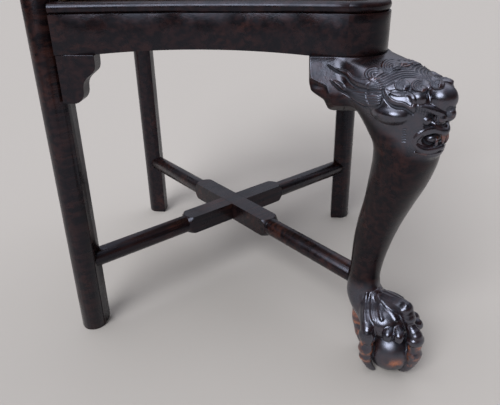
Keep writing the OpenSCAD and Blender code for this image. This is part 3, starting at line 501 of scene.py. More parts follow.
def relief(clay, outline, lift, edge, dome=0.0):
    """Raises the clay inside a drawn outline, or sinks it where lift is below nought."""
    outline = curve_through(np.vstack([outline, outline[:1]]), 4)[:-1]
    grounds = clay.sight.on_surface(clay, outline)
    cuts, places = clay.window(grounds.min(0) - 14, grounds.max(0) + 14)
    field = clay.field[cuts]
    near = np.abs(field) < abs(lift) + 3
    side, out, z = (np.broadcast_to(p, field.shape)[near] for p in places)
    drawn = outline_distance(outline, *clay.sight.drawn(side, out, z))
    slopes = np.gradient(field, clay.voxel)
    facing = -sum(slope[near] * share for slope, share in zip(slopes, clay.sight.ahead))
    height = lift * (1 + dome * (smoothstep(-drawn, 0, 5) - 1)) * smoothstep(facing, 0.02, 0.45)
    if lift > 0:
        field[near] = np.minimum(field[near], -smooth_join(height - field[near], -drawn, edge))
    else:
        field[near] = np.maximum(field[near], smooth_join(field[near] - height, -drawn, edge))
    clay.field[cuts] = field


def groove(clay, path, depth, r, between):
    """Cuts a round groove along a drawn path, finer towards its ends."""
    path = curve_through(path, between)
    points = clay.sight.on_surface(clay, path)
    along = np.linspace(0, 1, len(path))
    width = r * np.clip(np.minimum(along, 1 - along) * 8 + 0.35, 0, 1)
    centre = points + clay.normals(points) * (width - depth * width / r)[:, None]
    clay.score(np.column_stack([centre, width]))


def ridge(clay, path, lift, r, blend):
    """Lays a round ridge along a drawn path."""
    points = clay.sight.on_surface(clay, curve_through(path, 3))
    centre = points - clay.normals(points) * (r - lift)
    clay.add_limb(np.column_stack([centre, np.full(len(centre), r)]), blend, 1)


def strands(clay, first, last, count, depth, r):
    """Grooves spread evenly between two drawn guide lines."""
    a, b = curve_through(first, 4), curve_through(last, 4)
    along_a, along_b = np.linspace(0, 1, len(a)), np.linspace(0, 1, len(b))
    b = np.column_stack([np.interp(along_a, along_b, b[:, i]) for i in (0, 1)])
    for i in range(count + 1):
        groove(clay, a + (b - a) * (i / count), depth, r, 1)


def oval(middle, size, degrees):
    """Drawn points round an oval, at these angles."""
    angles = np.radians(degrees)
    return np.column_stack([middle[0] + size[0] * np.cos(angles), middle[1] + size[1] * np.sin(angles)])


def curl(clay, middle, size, turn, sweep, rings):
    """Nested grooves over a lock of hair that is curled like a shell."""
    width, height = size
    back = math.radians(turn)
    for i in range(rings):
        share = 0.22 + 0.66 * i / max(1, rings - 1)
        drift = 0.25 * (1 - share)
        centre = (middle[0] - drift * width * math.cos(back), middle[1] - drift * height * math.sin(back))
        arc = oval(centre, (width * share, height * share), turn + np.linspace(-sweep / 2, sweep / 2, 12))
        groove(clay, arc, 1.5, 0.85, 1)


# The cabriole leg: height, back and front from the ankle, half width and squareness of each section
LEG_SECTIONS = [
    (60, 8, 62, 22, 2.0),
    (74, -10, 54, 25, 2.0),
    (94, -22, 30, 23.5, 2.0),
    (118, -22, 21.5, 21.5, 2.0),
    (150, -19.5, 24, 22, 2.05),
    (186, -17, 32.5, 24.5, 2.1),
    (221, -11, 44, 27.5, 2.15),
    (254, -3, 58, 30.5, 2.15),
    (286, 3, 72, 35, 2.2),
    (RAIL_Z - 118, 7, 81, 38, 2.2),
    (RAIL_Z - 98, 6, 83, 39.5, 2.2),
    (RAIL_Z - 84, -4, 83, 40.5, 2.2),
    (RAIL_Z - 62, -24, 84, 44, 2.25),
    (RAIL_Z - 44, -48, 85, 52, 2.3),
    (RAIL_Z - 30, -60, 79, 51, 2.25),
    (RAIL_Z - 19, -66, 61, 48, 2.2),
    (RAIL_Z - 9, -72, 33, 43, 2.2),
    (RAIL_Z, -75, CORNER_OUT + CORNER_R - ANKLE_OUT - 1, 40, 2.2),
    (RAIL_Z + 8, -75, CORNER_OUT + CORNER_R - ANKLE_OUT - 6, 38, 2.2),
]
# The knee bracket's outlines below the rail: height below it and distance from the joint
BRACKET_FRONT = [
    (0, 43.5), (-14, 42.6), (-22, 41.2), (-24.4, 38.6), (-27.3, 31.5), (-31, 23.2), (-34.2, 21.3),
    (-43.4, 18.4), (-51, 15.3), (-54, 12),
]
BRACKET_BACK = [
    (0, 43.6), (-26, 42.8), (-33.6, 41.3), (-38, 39.5), (-43.6, 31.5), (-47.4, 25.7), (-50.8, 23.3),
    (-56.5, 20.7), (-61.6, 18.2), (-65, 12),
]
BRACKET_FLARE = [(0, 0.4), (-6, 2.5), (-18, 9), (-32, 17), (-44, 21), (-54, 19), (-60, 14), (-66, 7)]
# How deep the outlines go below the rail, how far behind the face the deeper one starts, how thick the
# bracket is, and how far the clay runs on past its joint into the leg
FRONT_DEPTH, BACK_DEPTH = 54, 65
SET_BACK = 9
BRACKET_THICK = 36
INTO_LEG = 22


def leg_body(clay):
    side, out, z = np.meshgrid(*clay.axes, indexing="ij", sparse=True)
    rows = curve_through(LEG_SECTIONS, 6)
    back, front, wide, square = (np.interp(z, rows[:, 0], rows[:, i]) for i in (1, 2, 3, 4))
    deep = (front - back) / 2
    out = out - ANKLE_OUT - (back + front) / 2
    share = (np.abs(side / wide) ** square + np.abs(out / deep) ** square) ** (1 / square)
    reach = np.sqrt(side**2 + out**2)
    clay.field = (reach * (1 - 1 / np.maximum(share, 0.02))).astype(np.float32)
    clay.field[..., clay.axes[2] < LEG_SECTIONS[0][0]] = FAR
    clay.level(4)
    clay.limit()


def bracket_body(clay):
    cuts, (side, out, z) = clay.window((28, 205, RAIL_Z - 72), (99, 330, RAIL_Z + 8))
    u, v = (out - side) / math.sqrt(2), (out + side) / math.sqrt(2)
    below = np.clip(z - RAIL_Z, -72, 0)
    outlines = (BRACKET_FRONT, BRACKET_BACK, BRACKET_FLARE)
    front, back, flare = (np.interp(below, *curve_through(rows, 4)[::-1].T) for rows in outlines)
    face = FACE - 0.5 * (1 - smoothstep(u, JOINT_U - 30, JOINT_U)) + flare
    # The face is cut back from the deeper outline behind it by a hollow edge
    set_back = smoothstep(face - v, 0, SET_BACK)
    edge = JOINT_U - (front + (back - front) * set_back)
    foot = RAIL_Z - FRONT_DEPTH - (BACK_DEPTH - FRONT_DEPTH) * set_back
    shape = -smooth_join(-(edge - u), -(v - face), 1.5)
    shape = np.maximum(shape, FACE - BRACKET_THICK - v)
    shape = np.maximum(shape, u - JOINT_U - INTO_LEG)
    shape = -smooth_join(-shape, -(foot - z), 2.0)
    clay.field[cuts] = smooth_join(clay.field[cuts], shape.astype(np.float32), 7.0)


# The lion's features: side, out, height and radius along each
BROW = [
    (36, 371, 394, 3), (30, 380, 393.5, 4.5), (22, 387.5, 391.5, 4.8), (13, 394.5, 387.5, 4.6),
    (6, 399, 383.5, 4),
]
UPPER_LIP = [
    (0, 398, 363.5, 4.6), (5, 396.5, 364.8, 4.6), (11, 391, 367.2, 4.6), (17, 387.2, 367, 4.6),
    (23, 383.3, 363.8, 4.4), (27, 380, 357, 3.6), (27.5, 379.5, 351, 2.6),
]
LOWER_LIP = [
    (0, 396.2, 345.2, 4), (7, 393, 343.3, 4), (15, 388, 342.2, 4.2), (22, 383.4, 344.5, 4),
    (27, 379.5, 350, 2.8),
]
CHIN_EDGE = [(0, 396, 338, 1.4), (9, 393.6, 337.4, 1.4), (18, 388.4, 337.6, 1.4), (27, 381, 340.4, 1.2)]
FANGS = [
    [(3.4, 399, 360, 2.6), (3.4, 400, 355, 2.1), (3.4, 399.4, 350, 0.9)],
    [(9, 395, 349, 2.0), (9.4, 396, 353, 1.6), (9.4, 395.4, 356.5, 0.8)],
]


def lion_head(clay):
    """Half of the lion's head, from the skull to the chin."""
    clay.add_egg((0, 363, 377.5), (33, 30, 36), 8)
    # Cheek, with a hollow beneath it
    clay.cut_egg((54, 362, 358), (16, 36, 14), 5)
    clay.add_egg((36, 351, 382), (18.5, 24, 12.5), 2.5)
    # Forehead boss, and the boss over the eye
    clay.add_egg((0, 386, 399), (18.5, 20, 17.5), 2.5)
    clay.add_egg((25, 374, 401), (10.5, 12, 10), 2)
    # Eye sockets, and the eyeballs with their drilled pupils
    clay.cut_egg((20, 397, 377), (11, 14, 9.5), 2)
    clay.add_egg((20.5, 386, 378), (6, 6, 5.6), 0.5)
    clay.cut_egg((21.5, 393.4, 375), (1.5, 2.6, 1.5), 0.3)
    # Brow that droops from the temple to the nose
    clay.add_limb(BROW, 1.5)
    # Nose with its curled wings
    clay.add_egg((0, 395, 384.5), (8.5, 13, 10.5), 2)
    clay.add_egg((8.5, 394, 380.5), (6.5, 9, 6.5), 1)
    clay.cut_egg((7, 401, 376), (2.2, 3, 2), 0.5)
    # Muzzle that arches over the open mouth, with the pearl inside
    clay.add_egg((0, 377, 364), (25, 21, 12), 4)
    clay.cut_egg((13, 396, 354.5), (13.5, 15, 8.5), 1.2)
    clay.cut_egg((0, 404, 353), (12, 12, 6.5), 1.2)
    clay.add_egg((5, 386.5, 355), (10.5, 8.5, 6.4), 0.5)
    clay.add_limb(UPPER_LIP, 1)
    clay.add_limb(LOWER_LIP, 0.8)
    # Chin, and the thin ridge under the lip
    clay.add_egg((0, 382, 336), (18, 14, 8), 3)
    clay.add_limb(CHIN_EDGE, 0.5)
    # Fangs at the front
    for rows in FANGS:
        clay.add_limb(rows, 0.4)
    clay.limit()


# Shell curls on the drawing plane: middle, half size, turn, sweep, grooves and lift
CURLS = [
    ((-80, 30), (10.5, 7.2), 145, 170, 3, 2.6),
    ((-61, 39), (11, 7.5), 150, 200, 4, 3.0),
    ((-47, 41), (6, 5), 120, 200, 2, 2.2),
    ((-49.5, 17.5), (8.5, 6.6), 165, 215, 4, 4.2),
    ((-29.5, 17), (10.5, 7.4), 165, 215, 4, 4.2),
    ((-11.5, 19), (8, 6.6), 165, 215, 4, 4.0),
]
# Drawn outlines and paths of the mane, to the right and up from the head's anchor
HAIR = [
    (-8, 27), (-20, 33), (-33, 38), (-50, 37), (-66, 29), (-84, 19), (-88, 10), (-82, -6), (-74, -3),
    (-66, 10), (-50, 13), (-36, 12), (-22, 11), (-14, 14),
]
FLAMES = [
    [(-129.5, 39), (-120, 35.5), (-110, 33), (-104, 27), (-92, 23.5), (-78, 26), (-70, 14), (-86, 12.5),
     (-98, 15.5), (-105, 20), (-111, 26.5), (-120, 32)],
    [(-128, 23), (-118, 21), (-110, 14.5), (-100, 11), (-86, 9), (-72, 4), (-76, -5), (-85, -8), (-94, -4),
     (-103, 1), (-111, 9), (-120, 14.5)],
]
UNDER_FLAMES = [
    [(-130, 39), (-120, 32), (-111, 26.5), (-105.5, 20), (-98, 15), (-86, 12)],
    [(-128, 23), (-120, 14.5), (-111, 8.5), (-103, 1), (-94, -4.5), (-85, -8)],
]
# The two guide lines of each lot of strands, with the grooves' depth and radius
STRANDS = [
    ([(-6, 24), (-14, 28), (-24, 31.5), (-34, 36), (-45, 37.5), (-58, 36), (-70, 30), (-80, 24.5)],
     [(-12, 19.5), (-22, 23.5), (-30, 25), (-38, 26), (-48, 25.5), (-58, 21), (-72, 15), (-88, 12.5)],
     1.25, 0.95),
    ([(-68, 10), (-76, 11.5), (-86, 11), (-98, 11.5), (-108, 13.5), (-118, 19)],
     [(-71, -2), (-78, -5.5), (-86, -6), (-95, -2), (-104, 4), (-112, 11.5)],
     1.15, 0.9),
]
EAR = [
    (-69.8, 15.5), (-63.5, 11), (-55, 9.2), (-47, 11.5), (-40, 9), (-35, 2.5), (-36, -12), (-41, -10.5),
    (-48, -5.8), (-57, -4.5), (-63.5, -1), (-68.5, 6),
]
EAR_HOLLOW = [
    (-66, 10.5), (-59, 6.4), (-51.5, 5.8), (-45, 6), (-39.5, 2), (-40, -5.5), (-48, -1.2), (-57, 0.6),
    (-63, 4.5),
]
UNDER_EAR = [(-71, 14), (-70, 8), (-64, -2), (-57, -6.4), (-48, -7.6), (-41, -12), (-37, -14.5)]
LASHES, BEARD_CURLS = 9, 6


def lion_mane(clay):
    """Ears, curls and flame locks, drawn as the camera sees them."""
    clay.sight = Sight((0, 396.6, 397.5))
    relief(clay, HAIR, 1.8, 0.8, 0.3)
    for middle, size, turn, sweep, rings, lift in CURLS:
        relief(clay, oval(middle, size, np.linspace(0, 360, 14, endpoint=False)), lift, 1.2, 0.5)
    for flame in FLAMES:
        relief(clay, flame, 3.0, 0.8, 0.5)
    for first, last, depth, r in STRANDS:
        strands(clay, first, last, 5, depth, r)
    for path in UNDER_FLAMES:
        groove(clay, path, 1.8, 1.5, 4)
    for middle, size, turn, sweep, rings, lift in CURLS:
        curl(clay, middle, size, turn, sweep, rings)
    relief(clay, EAR, 4.2, 1.0, 0.3)
    relief(clay, EAR_HOLLOW, -3.0, 0.8)
    groove(clay, UNDER_EAR, 1.8, 1.7, 4)
    # Lashes along the brow
    for i in range(LASHES):
        s = -34 + 2.9 * i
        t = -7.5 - 0.75 * i - 0.1 * i * i
        groove(clay, [(s + 0.4, t + 2.6), (s, t - 1.5), (s - 1, t - 4.5)], 0.8, 0.9, 2)
    # Swirls of the nose and its wing
    for share in (0.4, 0.75, 1.05):
        swirl = oval((3.5, -12), (4.6 * share, 6 * share), np.linspace(20, 300, 10))
        groove(clay, swirl, 0.9, 0.7, 1)
    # Beard curls down the jaw
    for i in range(BEARD_CURLS):
        s, t = -47.5 - 0.6 * (i % 2), -30.5 - 2.7 * i
        groove(clay, [(s - 2.8, t - 0.4), (s, t + 0.5), (s + 2.8, t - 0.2)], 1.0, 0.8, 2)


# The claw foot: side, out, height and radius along each limb
INSTEP = [(0, 307, 116, 21.5), (0, 310, 98, 23.5), (0, 326, 84, 25), (0, 350, 76, 25)]
FRONT_TOE = [
    (0, 334, 98, 15), (0, 357, 104, 12), (0, 377, 107, 10), (0, 386, 98, 9), (0, 390, 87, 7),
    (0, 400.5, 73, 10.2), (0, 401, 62, 10.4), (0, 401.5, 53, 9.3), (0, 402.5, 44, 10.2), (0, 401, 34, 8.8),
]
SIDE_TOE = [
    (8, 326, 90, 14), (24, 338, 86, 12), (34, 346, 80, 10.5), (41, 352, 74, 9.5), (41.5, 353, 65, 10.8),
    (41, 353, 56, 9), (42, 353, 46, 10), (41, 353, 38, 8.4), (40, 353, 31, 8.8),
]
REAR_TOE = [
    (0, 302, 100, 11), (0, 302.5, 84, 11.5), (0, 304, 66, 10.5), (0, 305.5, 50, 11.5), (0, 307.5, 36, 9.5),
    (0, 310, 25, 9),
]
KNUCKLES = [
    ((0, 380, 108), (11, 10, 9.5)), ((0, 388, 96), (9.5, 8, 7.5)), ((0, 401.5, 68), (13.2, 11, 9.5)),
    ((0, 403, 45), (11.5, 9.8, 7.8)), ((42, 352, 68), (10.5, 11.5, 9.5)), ((43, 353, 46), (9.6, 10.2, 7.6)),
    ((41.5, 353, 31), (8.6, 9, 6.8)),
]
NAILS = [
    [(0, 402, 34, 7.4), (0, 399, 25, 7), (0, 394, 14, 5.8), (0, 388, 6, 4), (0, 384, 2, 2)],
    [(41, 353, 29, 7), (38, 354.5, 20, 6.2), (34, 356.5, 11, 5), (29, 358.5, 4, 3.4), (26, 359.5, 1, 2)],
    [(0, 310, 24, 8.4), (0, 316, 12, 6.6), (0, 324, 3, 4)],
]
# The small claws: distance out from the ball's middle, height and radius, and where they stand round it
SMALL_CLAW = [(18, 80, 9), (27, 78.5, 8), (32, 76.5, 7.4), (34.5, 73.5, 5.6), (35, 71.5, 3.4)]
SMALL_CLAW_TURNS = (40, 66, 140)
# Tendons over the instep, to the right and up from the foot's anchor
TENDONS = [
    [(-23, 52), (-26, 38.5), (-27, 23.3), (-26, 14)],
    [(-16.5, 52), (-17, 38.5), (-17, 23.3), (-15, 15)],
    [(-9, 50), (-6, 38.5), (-5, 23.3), (-3, 16)],
    [(-3, 52), (9.5, 46.5), (23.7, 41.5), (31, 36)],
    [(-4, 47), (7.4, 39.5), (18.6, 33), (24, 27)],
    [(-4, 41), (3.4, 32.4), (11.5, 24), (17, 15)],
]


def claw_foot(clay):
    """The paw that grips the ball: four toes, and small claws between them."""
    clay.add_limb(INSTEP, 4, 4)
    clay.add_egg((0, 350, 78), (38, 37, 27), 6)
    for rows in (FRONT_TOE, SIDE_TOE, REAR_TOE):
        clay.add_limb(rows, 2.0, 3)
    for centre, radii in KNUCKLES:
        clay.add_egg(centre, radii, 1.2)
    clay.add_egg((0, BALL_OUT, BALL_R - 1), (BALL_R, BALL_R, BALL_R), 0.5)
    for rows in NAILS:
        clay.add_limb(rows, 0.4, 3)
    for turn in SMALL_CLAW_TURNS:
        c, s = math.cos(math.radians(turn)), math.sin(math.radians(turn))
        clay.add_limb([(out * s, BALL_OUT + out * c, z, r) for out, z, r in SMALL_CLAW], 1.0, 3)
    clay.limit()
    clay.sight = Sight((20, BALL_OUT, 70))
    for path in TENDONS:
        ridge(clay, path, 1.3, 2.6, 1.6)
    clay.field[..., clay.axes[2] < 0] = FAR


def clay_mesh(field, low, voxel):
    """Vertices and quads of a field's surface."""
    grid = openvdb.FloatGrid(4.0)
    grid.copyFromArray(np.clip(field, -4, 4).astype(np.float32))
    points, quads = grid.convertToQuads(isovalue=0.0)
    return points * voxel + low, quads[:, ::-1]


def smooth_mesh(name, points, faces):
    mesh = bpy.data.meshes.new(name)
    mesh.from_pydata(points, [], faces, shade_flat=False)
    mesh.validate()
    return mesh


def paint(piece, name, values):
    attribute = piece.data.attributes.new(name, "FLOAT", "POINT")
    attribute.data.foreach_set("value", np.asarray(values, np.float32))


def crisp_joint(clay, points, joint_u):
    """Moves the points by the bracket's joint onto its plane, and tells which of them lie on its rim."""
    across = np.array([-1, 1, 0]) / math.sqrt(2)
    gap = points @ across - joint_u
    near = np.flatnonzero((np.abs(gap) < 0.6 * clay.voxel) & (points[:, 2] > RAIL_Z - 80))
    flat = points[near] - gap[near, None] * across
    value = clay.at(flat)
    rim = np.abs(value) < 0.95 * clay.voxel
    slope = clay.normals(flat)
    slope -= (slope @ across)[:, None] * across
    flat[rim] -= (value[:, None] * slope / np.maximum((slope**2).sum(axis=1), 0.2)[:, None])[rim]
    points[near] = flat
    on_rim = np.zeros(len(points), bool)
    on_rim[near[rim]] = True
    return on_rim


# How deep below the surface edges and hollows are felt for when they are painted
FEEL = 2.5
# Heights and spreads of the worn claw tips, and other worn spots: how bare they are, where they lie and
# how far they spread in side and height, and how far out they start
WORN_TIPS = ((59, 5), (43, 4.5), (28, 4))
WORN_SPOTS = (
    (1.0, (20, 29), (8, 6), BALL_OUT + 10), (0.5, (0, 379), (9, 7), 391), (0.35, (3, 358), (4, 4), 389),
)


def polish_and_wear(half):
    """How polished the carving is, on head and foot, and how bare its tips are worn."""
    side, out, z = half.T
    # The head ends at a slanting line over the knee, and towards the seat; the foot at the ankle
    head = smoothstep(z + 0.6 * (out - 350), 345, 368) * (0.3 + 0.7 * smoothstep(out, 285, 318))
    polish = np.maximum(head, 1 - smoothstep(z, 108, 130))
    bare = sum(np.exp(-(((z - height) / spread) ** 2)) for height, spread in WORN_TIPS)
    bare = bare * (np.hypot(side, out - BALL_OUT) > BALL_R + 1) * (z < 64)
    for share, (across, height), (wide, high), start in WORN_SPOTS:
        spot = np.exp(-(((side - across) / wide) ** 2 + ((z - height) / high) ** 2))
        bare = bare + share * spot * (out > start)
    return polish, np.clip(bare, 0, 1)


def carved_piece(name, clay, field, mirrored, material):
    """A piece of the clay as an object, with its edges, hollows, polish and wear painted as attributes."""
    low = clay.low.copy()
    if mirrored:
        field = np.concatenate([field[:0:-1], field], axis=0)
        low[0] = -clay.axes[0][-1]
    half, quads = clay_mesh(field, low, clay.voxel)
    hand = np.where(half[:, 0] < 0, -1.0, 1.0)
    half[:, 0] *= hand
    joint = crisp_joint(clay, half, JOINT_U + (THIN_GAP if mirrored else -THIN_GAP))
    # To metres in the frame, on the chair's left where hand is 1
    places = np.column_stack([-half[:, 0] * hand, SHIFT_Y * 1000 - half[:, 1], half[:, 2]]) / 1000
    places[:, 1] = np.maximum(places[:, 1], cad_low.y)
    mesh = smooth_mesh(name, places.tolist(), quads.tolist())
    mesh.materials.append(material)
    piece = new_object(name, mesh)
    edges = np.empty(len(mesh.edges) * 2, np.int32)
    mesh.edges.foreach_get("vertices", edges)
    sharp = mesh.attributes.new("sharp_edge", "BOOLEAN", "EDGE")
    sharp.data.foreach_set("value", joint[edges.reshape(-1, 2)].all(axis=1))
    normals = clay.normals(half)
    paint(piece, "edge", np.clip(1 + clay.at(half - normals * FEEL) / FEEL, 0, 1))
    # How hollow each point is, or how deep in a cut groove; the wood is darkened there as dirt and painted
    # shade
    hollow = np.maximum(1 - clay.at(half + normals * FEEL) / FEEL, clay.at(half, clay.groove_dirt_and_shade))
    paint(piece, "hollow", np.clip(hollow, 0, 1))
    polish, tips = polish_and_wear(half)
    paint(piece, "polish", polish)
    paint(piece, "tips", tips)
    return piece


# Voxels of the fine and the quick carving, and gaps at the brackets' joints, the floor and the rails
FINE_VOXEL, QUICK_VOXEL = 0.65, 1.3
THIN_GAP = 0.05
RAIL_GAP = 0.15


def carve_front_leg(material):
    voxel = FINE_VOXEL
    clay = Clay((0, 204, -2 * voxel), (98, 420, RAIL_Z + 3 * voxel), voxel)
    leg_body(clay)
    bracket_body(clay)
    lion_head(clay)
    claw_foot(clay)
    clay.level()
    clay.limit()
    lion_mane(clay)
    clay.soften()
    side, out, z = np.meshgrid(*clay.axes, indexing="ij", sparse=True)
    u = (out - side) / math.sqrt(2)
    top = z - (RAIL_Z - RAIL_GAP)
    floor = THIN_GAP - z
    leg = np.maximum(np.maximum(clay.field, JOINT_U + THIN_GAP - u), np.maximum(top, floor))
    bracket = np.maximum(np.maximum(clay.field, u - JOINT_U + THIN_GAP), top)
    bracket = np.maximum(bracket, (RAIL_Z - BACK_DEPTH) - z)
    leg_piece = carved_piece("carved_front_leg", clay, leg, True, material)
    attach(leg_piece, "chair")
    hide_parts("front_leg")
    for hand in ("left", "right"):
        piece = carved_piece(f"carved_{hand}_knee_bracket", clay, bracket, False, material)
        if hand == "right":
            piece.data.transform(Matrix.Scale(-1, 4, (1, 0, 0)))
            piece.data.flip_normals()
        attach(piece, "chair")
        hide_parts(f"{hand}_knee_bracket")


# The corner block over the front leg, with the rails' bead, quirk and rebate
BEAD_R = 7.0
QUIRK = 4.0
REBATE = 20.0
CORNER_STEPS = 48


def rail_outline():
    """The rail's outer section: distance in from the face and height above its lower edge."""
    bead = RAIL_H - BEAD_R
    quirk = bead - BEAD_R
    points = [(1.2, 0.0), (0.35, 0.35), (0.0, 1.2), (0.0, 12.0), (0.0, 24.0), (0.0, 36.0)]
    points += [(0.0, quirk - 0.6), (0.3, quirk + 0.2), (1.0, quirk + 0.5), (QUIRK - 0.2, quirk + 0.6)]
    for i in range(13):
        angle = math.radians(-118 + 17.3 * i)
        points.append((BEAD_R + 0.3 - BEAD_R * math.cos(angle), bead + BEAD_R * math.sin(angle)))
    return points


def corner_block(material):
    """The block that carries the rails' moulding round the front corner of the seat."""
    ledge, core = RAIL_H - REBATE, CORNER_R - 0.5
    outline = rail_outline() + [(REBATE, RAIL_H), (REBATE, ledge), (core, ledge), (core, 0.0)]
    half = math.radians(45) + HOLLOW
    points = []
    for i in range(CORNER_STEPS + 1):
        angle = -half + 2 * half * i / CORNER_STEPS
        for inset, height in outline:
            r = CORNER_R - inset
            x, out = r * math.sin(angle), CORNER_OUT + r * math.cos(angle)
            points.append((x / 1000, SHIFT_Y - out / 1000, (RAIL_Z + height) / 1000))
    count = len(outline)
    ring = np.arange(count)
    ahead = (ring + 1) % count
    faces = [tuple(ring), tuple(ring[::-1] + CORNER_STEPS * count)]
    for start in range(0, CORNER_STEPS * count, count):
        faces += zip(start + ring, start + count + ring, start + count + ahead, start + ahead)
    data = smooth_mesh("corner_block", points, faces)
    data.set_sharp_from_angle(angle=math.radians(40))
    data.materials.append(material)
    piece = new_object("corner_block", data)
    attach(piece, "chair")
    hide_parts("front_leg")


# The pieces that keep their solids


def modify(piece, kind, **values):
    modifier = piece.modifiers.new(kind.lower(), kind)
    for key, value in values.items():
        setattr(modifier, key, value)


def soften(node):
    """Rounds a solid's arrises slightly, without touching its mesh."""
    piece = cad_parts[node]
    modify(piece, "WELD", merge_threshold=0.00002)
    modify(piece, "DECIMATE", decimate_type="DISSOLVE", angle_limit=math.radians(0.5))
    modify(
        piece, "BEVEL", width=0.0008, segments=2, limit_method="ANGLE", angle_limit=math.radians(32),
        harden_normals=True, use_clamp_overlap=True,
    )


def give(node, material):
    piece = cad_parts[node]
    piece.data.materials.clear()
    piece.data.materials.append(material)


def finish_frame():
    """Materials for the chair's own pieces, with the grain along each."""
    woods = {
        "upright": (UPRIGHT, ("left_leg", "right_leg", "rear_leg", "left_splat", "right_splat")),
        "left_side": (
            ALONG_LEFT, ("front_left_rail", "rear_right_rail", "left_side_bracket", "right_splat_shoe"),
        ),
        "right_side": (
            ALONG_RIGHT, ("front_right_rail", "rear_left_rail", "right_side_bracket", "left_splat_shoe"),
        ),
        "across": (ACROSS, ("side_stretcher", "left_arm", "right_arm", "crest")),
        "forward": (FORWARD, ("front_stretcher",)),
    }
    for name, (turn, nodes) in woods.items():
        rub = 0.35 if name in ("across", "forward") else 0.0
        material = dark_wood(f"dark_wood_{name}", turn, rub=rub)
        for node in nodes:
            give(node, material)
            soften(node)
    seat_wood = raw_wood("seat_wood")
    for node in ("crest_dowels", "seat_frame_front_left", "seat_frame_front_right",
                 "seat_frame_rear_left", "seat_frame_rear_right"):
        give(node, seat_wood)
    webbing = woven("webbing", (0.42, 0.31, 0.17), (0.20, 0.14, 0.075), 0.0022)
    give("seat_webbing", webbing)
    linen = woven("base_cloth", (0.30, 0.25, 0.175), (0.17, 0.135, 0.09), 0.0011)
    give("seat_base_cloth", linen)
    give("seat_pad", leather("seat_leather"))


# The seat's padding, in metres: how much smaller its cloth starts, how far it may swell, and its gathers
PAD_START = (0.993, 0.993, 0.95, 1)
PAD_VOXEL = 0.005
PAD_HELD = 0.0016
PAD_SWELL = 0.007
PAD_INSIDE = 0.0003
GATHER = 0.00045
SWELL_FRAMES = 20
CLOTH = {
    "quality": 6, "mass": 0.4, "vertex_group_mass": "held", "use_pressure": True,
    "uniform_pressure_force": 4.0, "tension_stiffness": 18, "compression_stiffness": 18,
    "shear_stiffness": 8, "bending_stiffness": 2.5,
}


def evaluated(piece):
    bpy.context.view_layer.update()
    return piece.evaluated_get(bpy.context.evaluated_depsgraph_get())


def evaluated_points(piece):
    shown = evaluated(piece)
    points = np.empty(len(shown.data.vertices) * 3, np.float32)
    shown.data.vertices.foreach_get("co", points)
    return points.reshape(-1, 3).astype(float)


def keep_applied(piece):
    """Turns the piece's modifiers into its mesh."""
    piece.data = bpy.data.meshes.new_from_object(evaluated(piece))
    piece.modifiers.clear()


def swell(piece, pinned):
    """Blows a mesh up as cloth, with its underside held, and gives the points where they end."""
    scene = bpy.context.scene
    group = piece.vertex_groups.new(name="held")
    group.add([int(i) for i in np.flatnonzero(pinned)], 1.0, "REPLACE")
    cloth = piece.modifiers.new("cloth", "CLOTH")
    for key, value in CLOTH.items():
        setattr(cloth.settings, key, value)
    cloth.settings.effector_weights.gravity = 0.0
    cloth.point_cache.frame_start = 1
    cloth.point_cache.frame_end = SWELL_FRAMES
    for step in range(1, SWELL_FRAMES + 1):
        scene.frame_set(step)
    points = evaluated_points(piece)
    piece.modifiers.clear()
    piece.vertex_groups.clear()
    scene.frame_set(1)
    return points


def gather_edge(points, middle):
    """Lowers the leather in small waves where it is gathered along the seat's edge."""
    across = (points[:, 0] - middle.x + points[:, 1] - middle.y) / math.sqrt(2)
    along = (points[:, 1] - middle.y - points[:, 0] + middle.x) / math.sqrt(2)
    edge = np.maximum(np.abs(across), np.abs(along)) / np.maximum(np.abs(across).max(), np.abs(along).max())
    run = np.where(np.abs(across) > np.abs(along), along, across) * 1000
    pull = np.sin(run / 3.1 + 2.2 * np.sin(run / 23)) + 0.6 * np.sin(run / 5.3 + 1.7)
    gather = smoothstep(edge, 0.88, 0.97) * smoothstep(points[:, 2], middle.z + 0.002, middle.z + 0.007)
    points[:, 2] -= GATHER * gather * (1 + pull)


def keep_inside(points, mesh):
    """Moves points that lie outside a mesh, or close to it, in behind its surface."""
    tree = BVHTree.FromPolygons([v.co for v in mesh.vertices], [tuple(f.vertices) for f in mesh.polygons])
    for i, point in enumerate(points):
        near, normal, _, _ = tree.find_nearest(point)
        if (Vector(point) - near).dot(normal) > -PAD_INSIDE:
            points[i] = near - normal * PAD_INSIDE


def seat_padding():
    """The stuffed leather seat, swollen as cloth inside the space that its solid holds."""
    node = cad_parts["seat_pad"]
    low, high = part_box("seat_pad")
    middle = Vector(((low.x + high.x) / 2, (low.y + high.y) / 2, low.z))
    shrink = Matrix.Translation(middle) @ Matrix.Diagonal(PAD_START) @ Matrix.Translation(-middle)
    piece = new_object("leather_seat_pad", node.data.copy())
    piece.data.transform(shrink)
    piece.data.materials.clear()
    modify(piece, "REMESH", mode="VOXEL", voxel_size=PAD_VOXEL)
    keep_applied(piece)
    start = evaluated_points(piece)
    end = swell(piece, start[:, 2] < low.z + PAD_HELD)
    move = end - start
    length = np.linalg.norm(move, axis=1, keepdims=True) + 1e-9
    points = start + move * np.minimum(1, PAD_SWELL / length)
    gather_edge(points, middle)
    keep_inside(points, node.data)
    points[:, 2] = np.maximum(points[:, 2], low.z + 0.0001)
    piece.data.vertices.foreach_set("co", points.astype(np.float32).ravel())
    modify(piece, "SUBSURF", levels=1)
    keep_applied(piece)
    piece.data.shade_smooth()
    piece.data.materials.append(leather("seat_leather_padded"))
    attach(piece, "drop_in_seat")
    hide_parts("seat_pad")


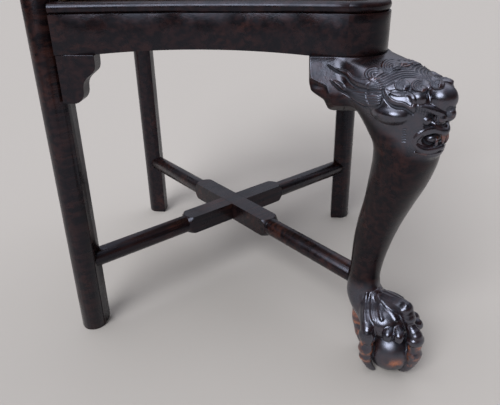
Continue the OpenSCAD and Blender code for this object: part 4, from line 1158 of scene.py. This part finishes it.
# Light and floor: colours, the way up to the pale ceiling, the room's colours from below to there, and
# each lamp's name, strength, azimuth, elevation, spread and colour
FLOOR_COLOUR = (0.488, 0.458, 0.425)
FLOOR_HALF = 30.0
BACKDROP = (0.56, 0.545, 0.53)
CEILING = (0.30, 0.38, 0.87)
ROOM = ((0.10, (0.015, 0.015, 0.016, 1)), (0.45, (0.12, 0.12, 0.135, 1)), (1.0, (0.80, 0.82, 0.92, 1)))
LAMPS = (
    ("key", 2.6, -69, 41, 34, (0.94, 0.96, 1.0)),
    ("top", 0.75, -120, 76, 40, (0.96, 0.97, 1.0)),
    ("back", 0.28, 100, 52, 44, (0.97, 0.97, 1.0)),
)


def add_floor():
    material = material_nodes("floor").finish(Base_Color=FLOOR_COLOUR, Roughness=1.0, Specular_IOR_Level=0.0)
    corners = [(x * FLOOR_HALF, y * FLOOR_HALF, 0) for x, y in ((-1, -1), (1, -1), (1, 1), (-1, 1))]
    mesh = smooth_mesh("floor", corners, [(0, 1, 2, 3)])
    mesh.materials.append(material)
    floor = new_object("floor", mesh)


def add_sun(name, strength, azimuth, elevation, spread, colour):
    data = bpy.data.lights.new(name, "SUN")
    data.energy = strength
    data.color = colour
    data.angle = math.radians(spread)
    sun = new_object(name, data)
    a, e = math.radians(azimuth), math.radians(elevation)
    towards = Vector((math.sin(a) * math.cos(e), -math.cos(a) * math.cos(e), math.sin(e)))
    sun.rotation_mode = "QUATERNION"
    sun.rotation_quaternion = towards.to_track_quat("Z", "Y")


def add_light():
    """A dim room with a pale ceiling, three wide soft lamps, and a backdrop that only the camera sees."""
    n = Nodes(bpy.data.worlds.new("world"), "Background", "OutputWorld")
    tilt = n.add("VectorMath", operation="DOT_PRODUCT")
    tilt.inputs[1].default_value = CEILING
    n.link(n.add("TexCoord").outputs["Generated"], tilt.inputs[0])
    ramp = n.add("ValToRGB")
    elements = ramp.color_ramp.elements
    elements.new(ROOM[1][0])
    for element, (position, colour) in zip(elements, ROOM):
        element.position = position
        element.color = colour
    n.link(tilt.outputs["Value"], ramp.inputs["Fac"])
    seen = n.add("LightPath").outputs["Is Camera Ray"]
    bpy.context.scene.world = n.finish(Color=n.mix(seen, ramp.outputs["Color"], BACKDROP))
    for lamp in LAMPS:
        add_sun(*lamp)


bpy.context.scene.view_settings.view_transform = "Standard"
add_camera()
add_light()
add_floor()
finish_frame()
seat_padding()
carved_wood = dark_wood("dark_wood_carved", UPRIGHT, carved=True)
carve_front_leg(carved_wood)
corner_block(carved_wood)
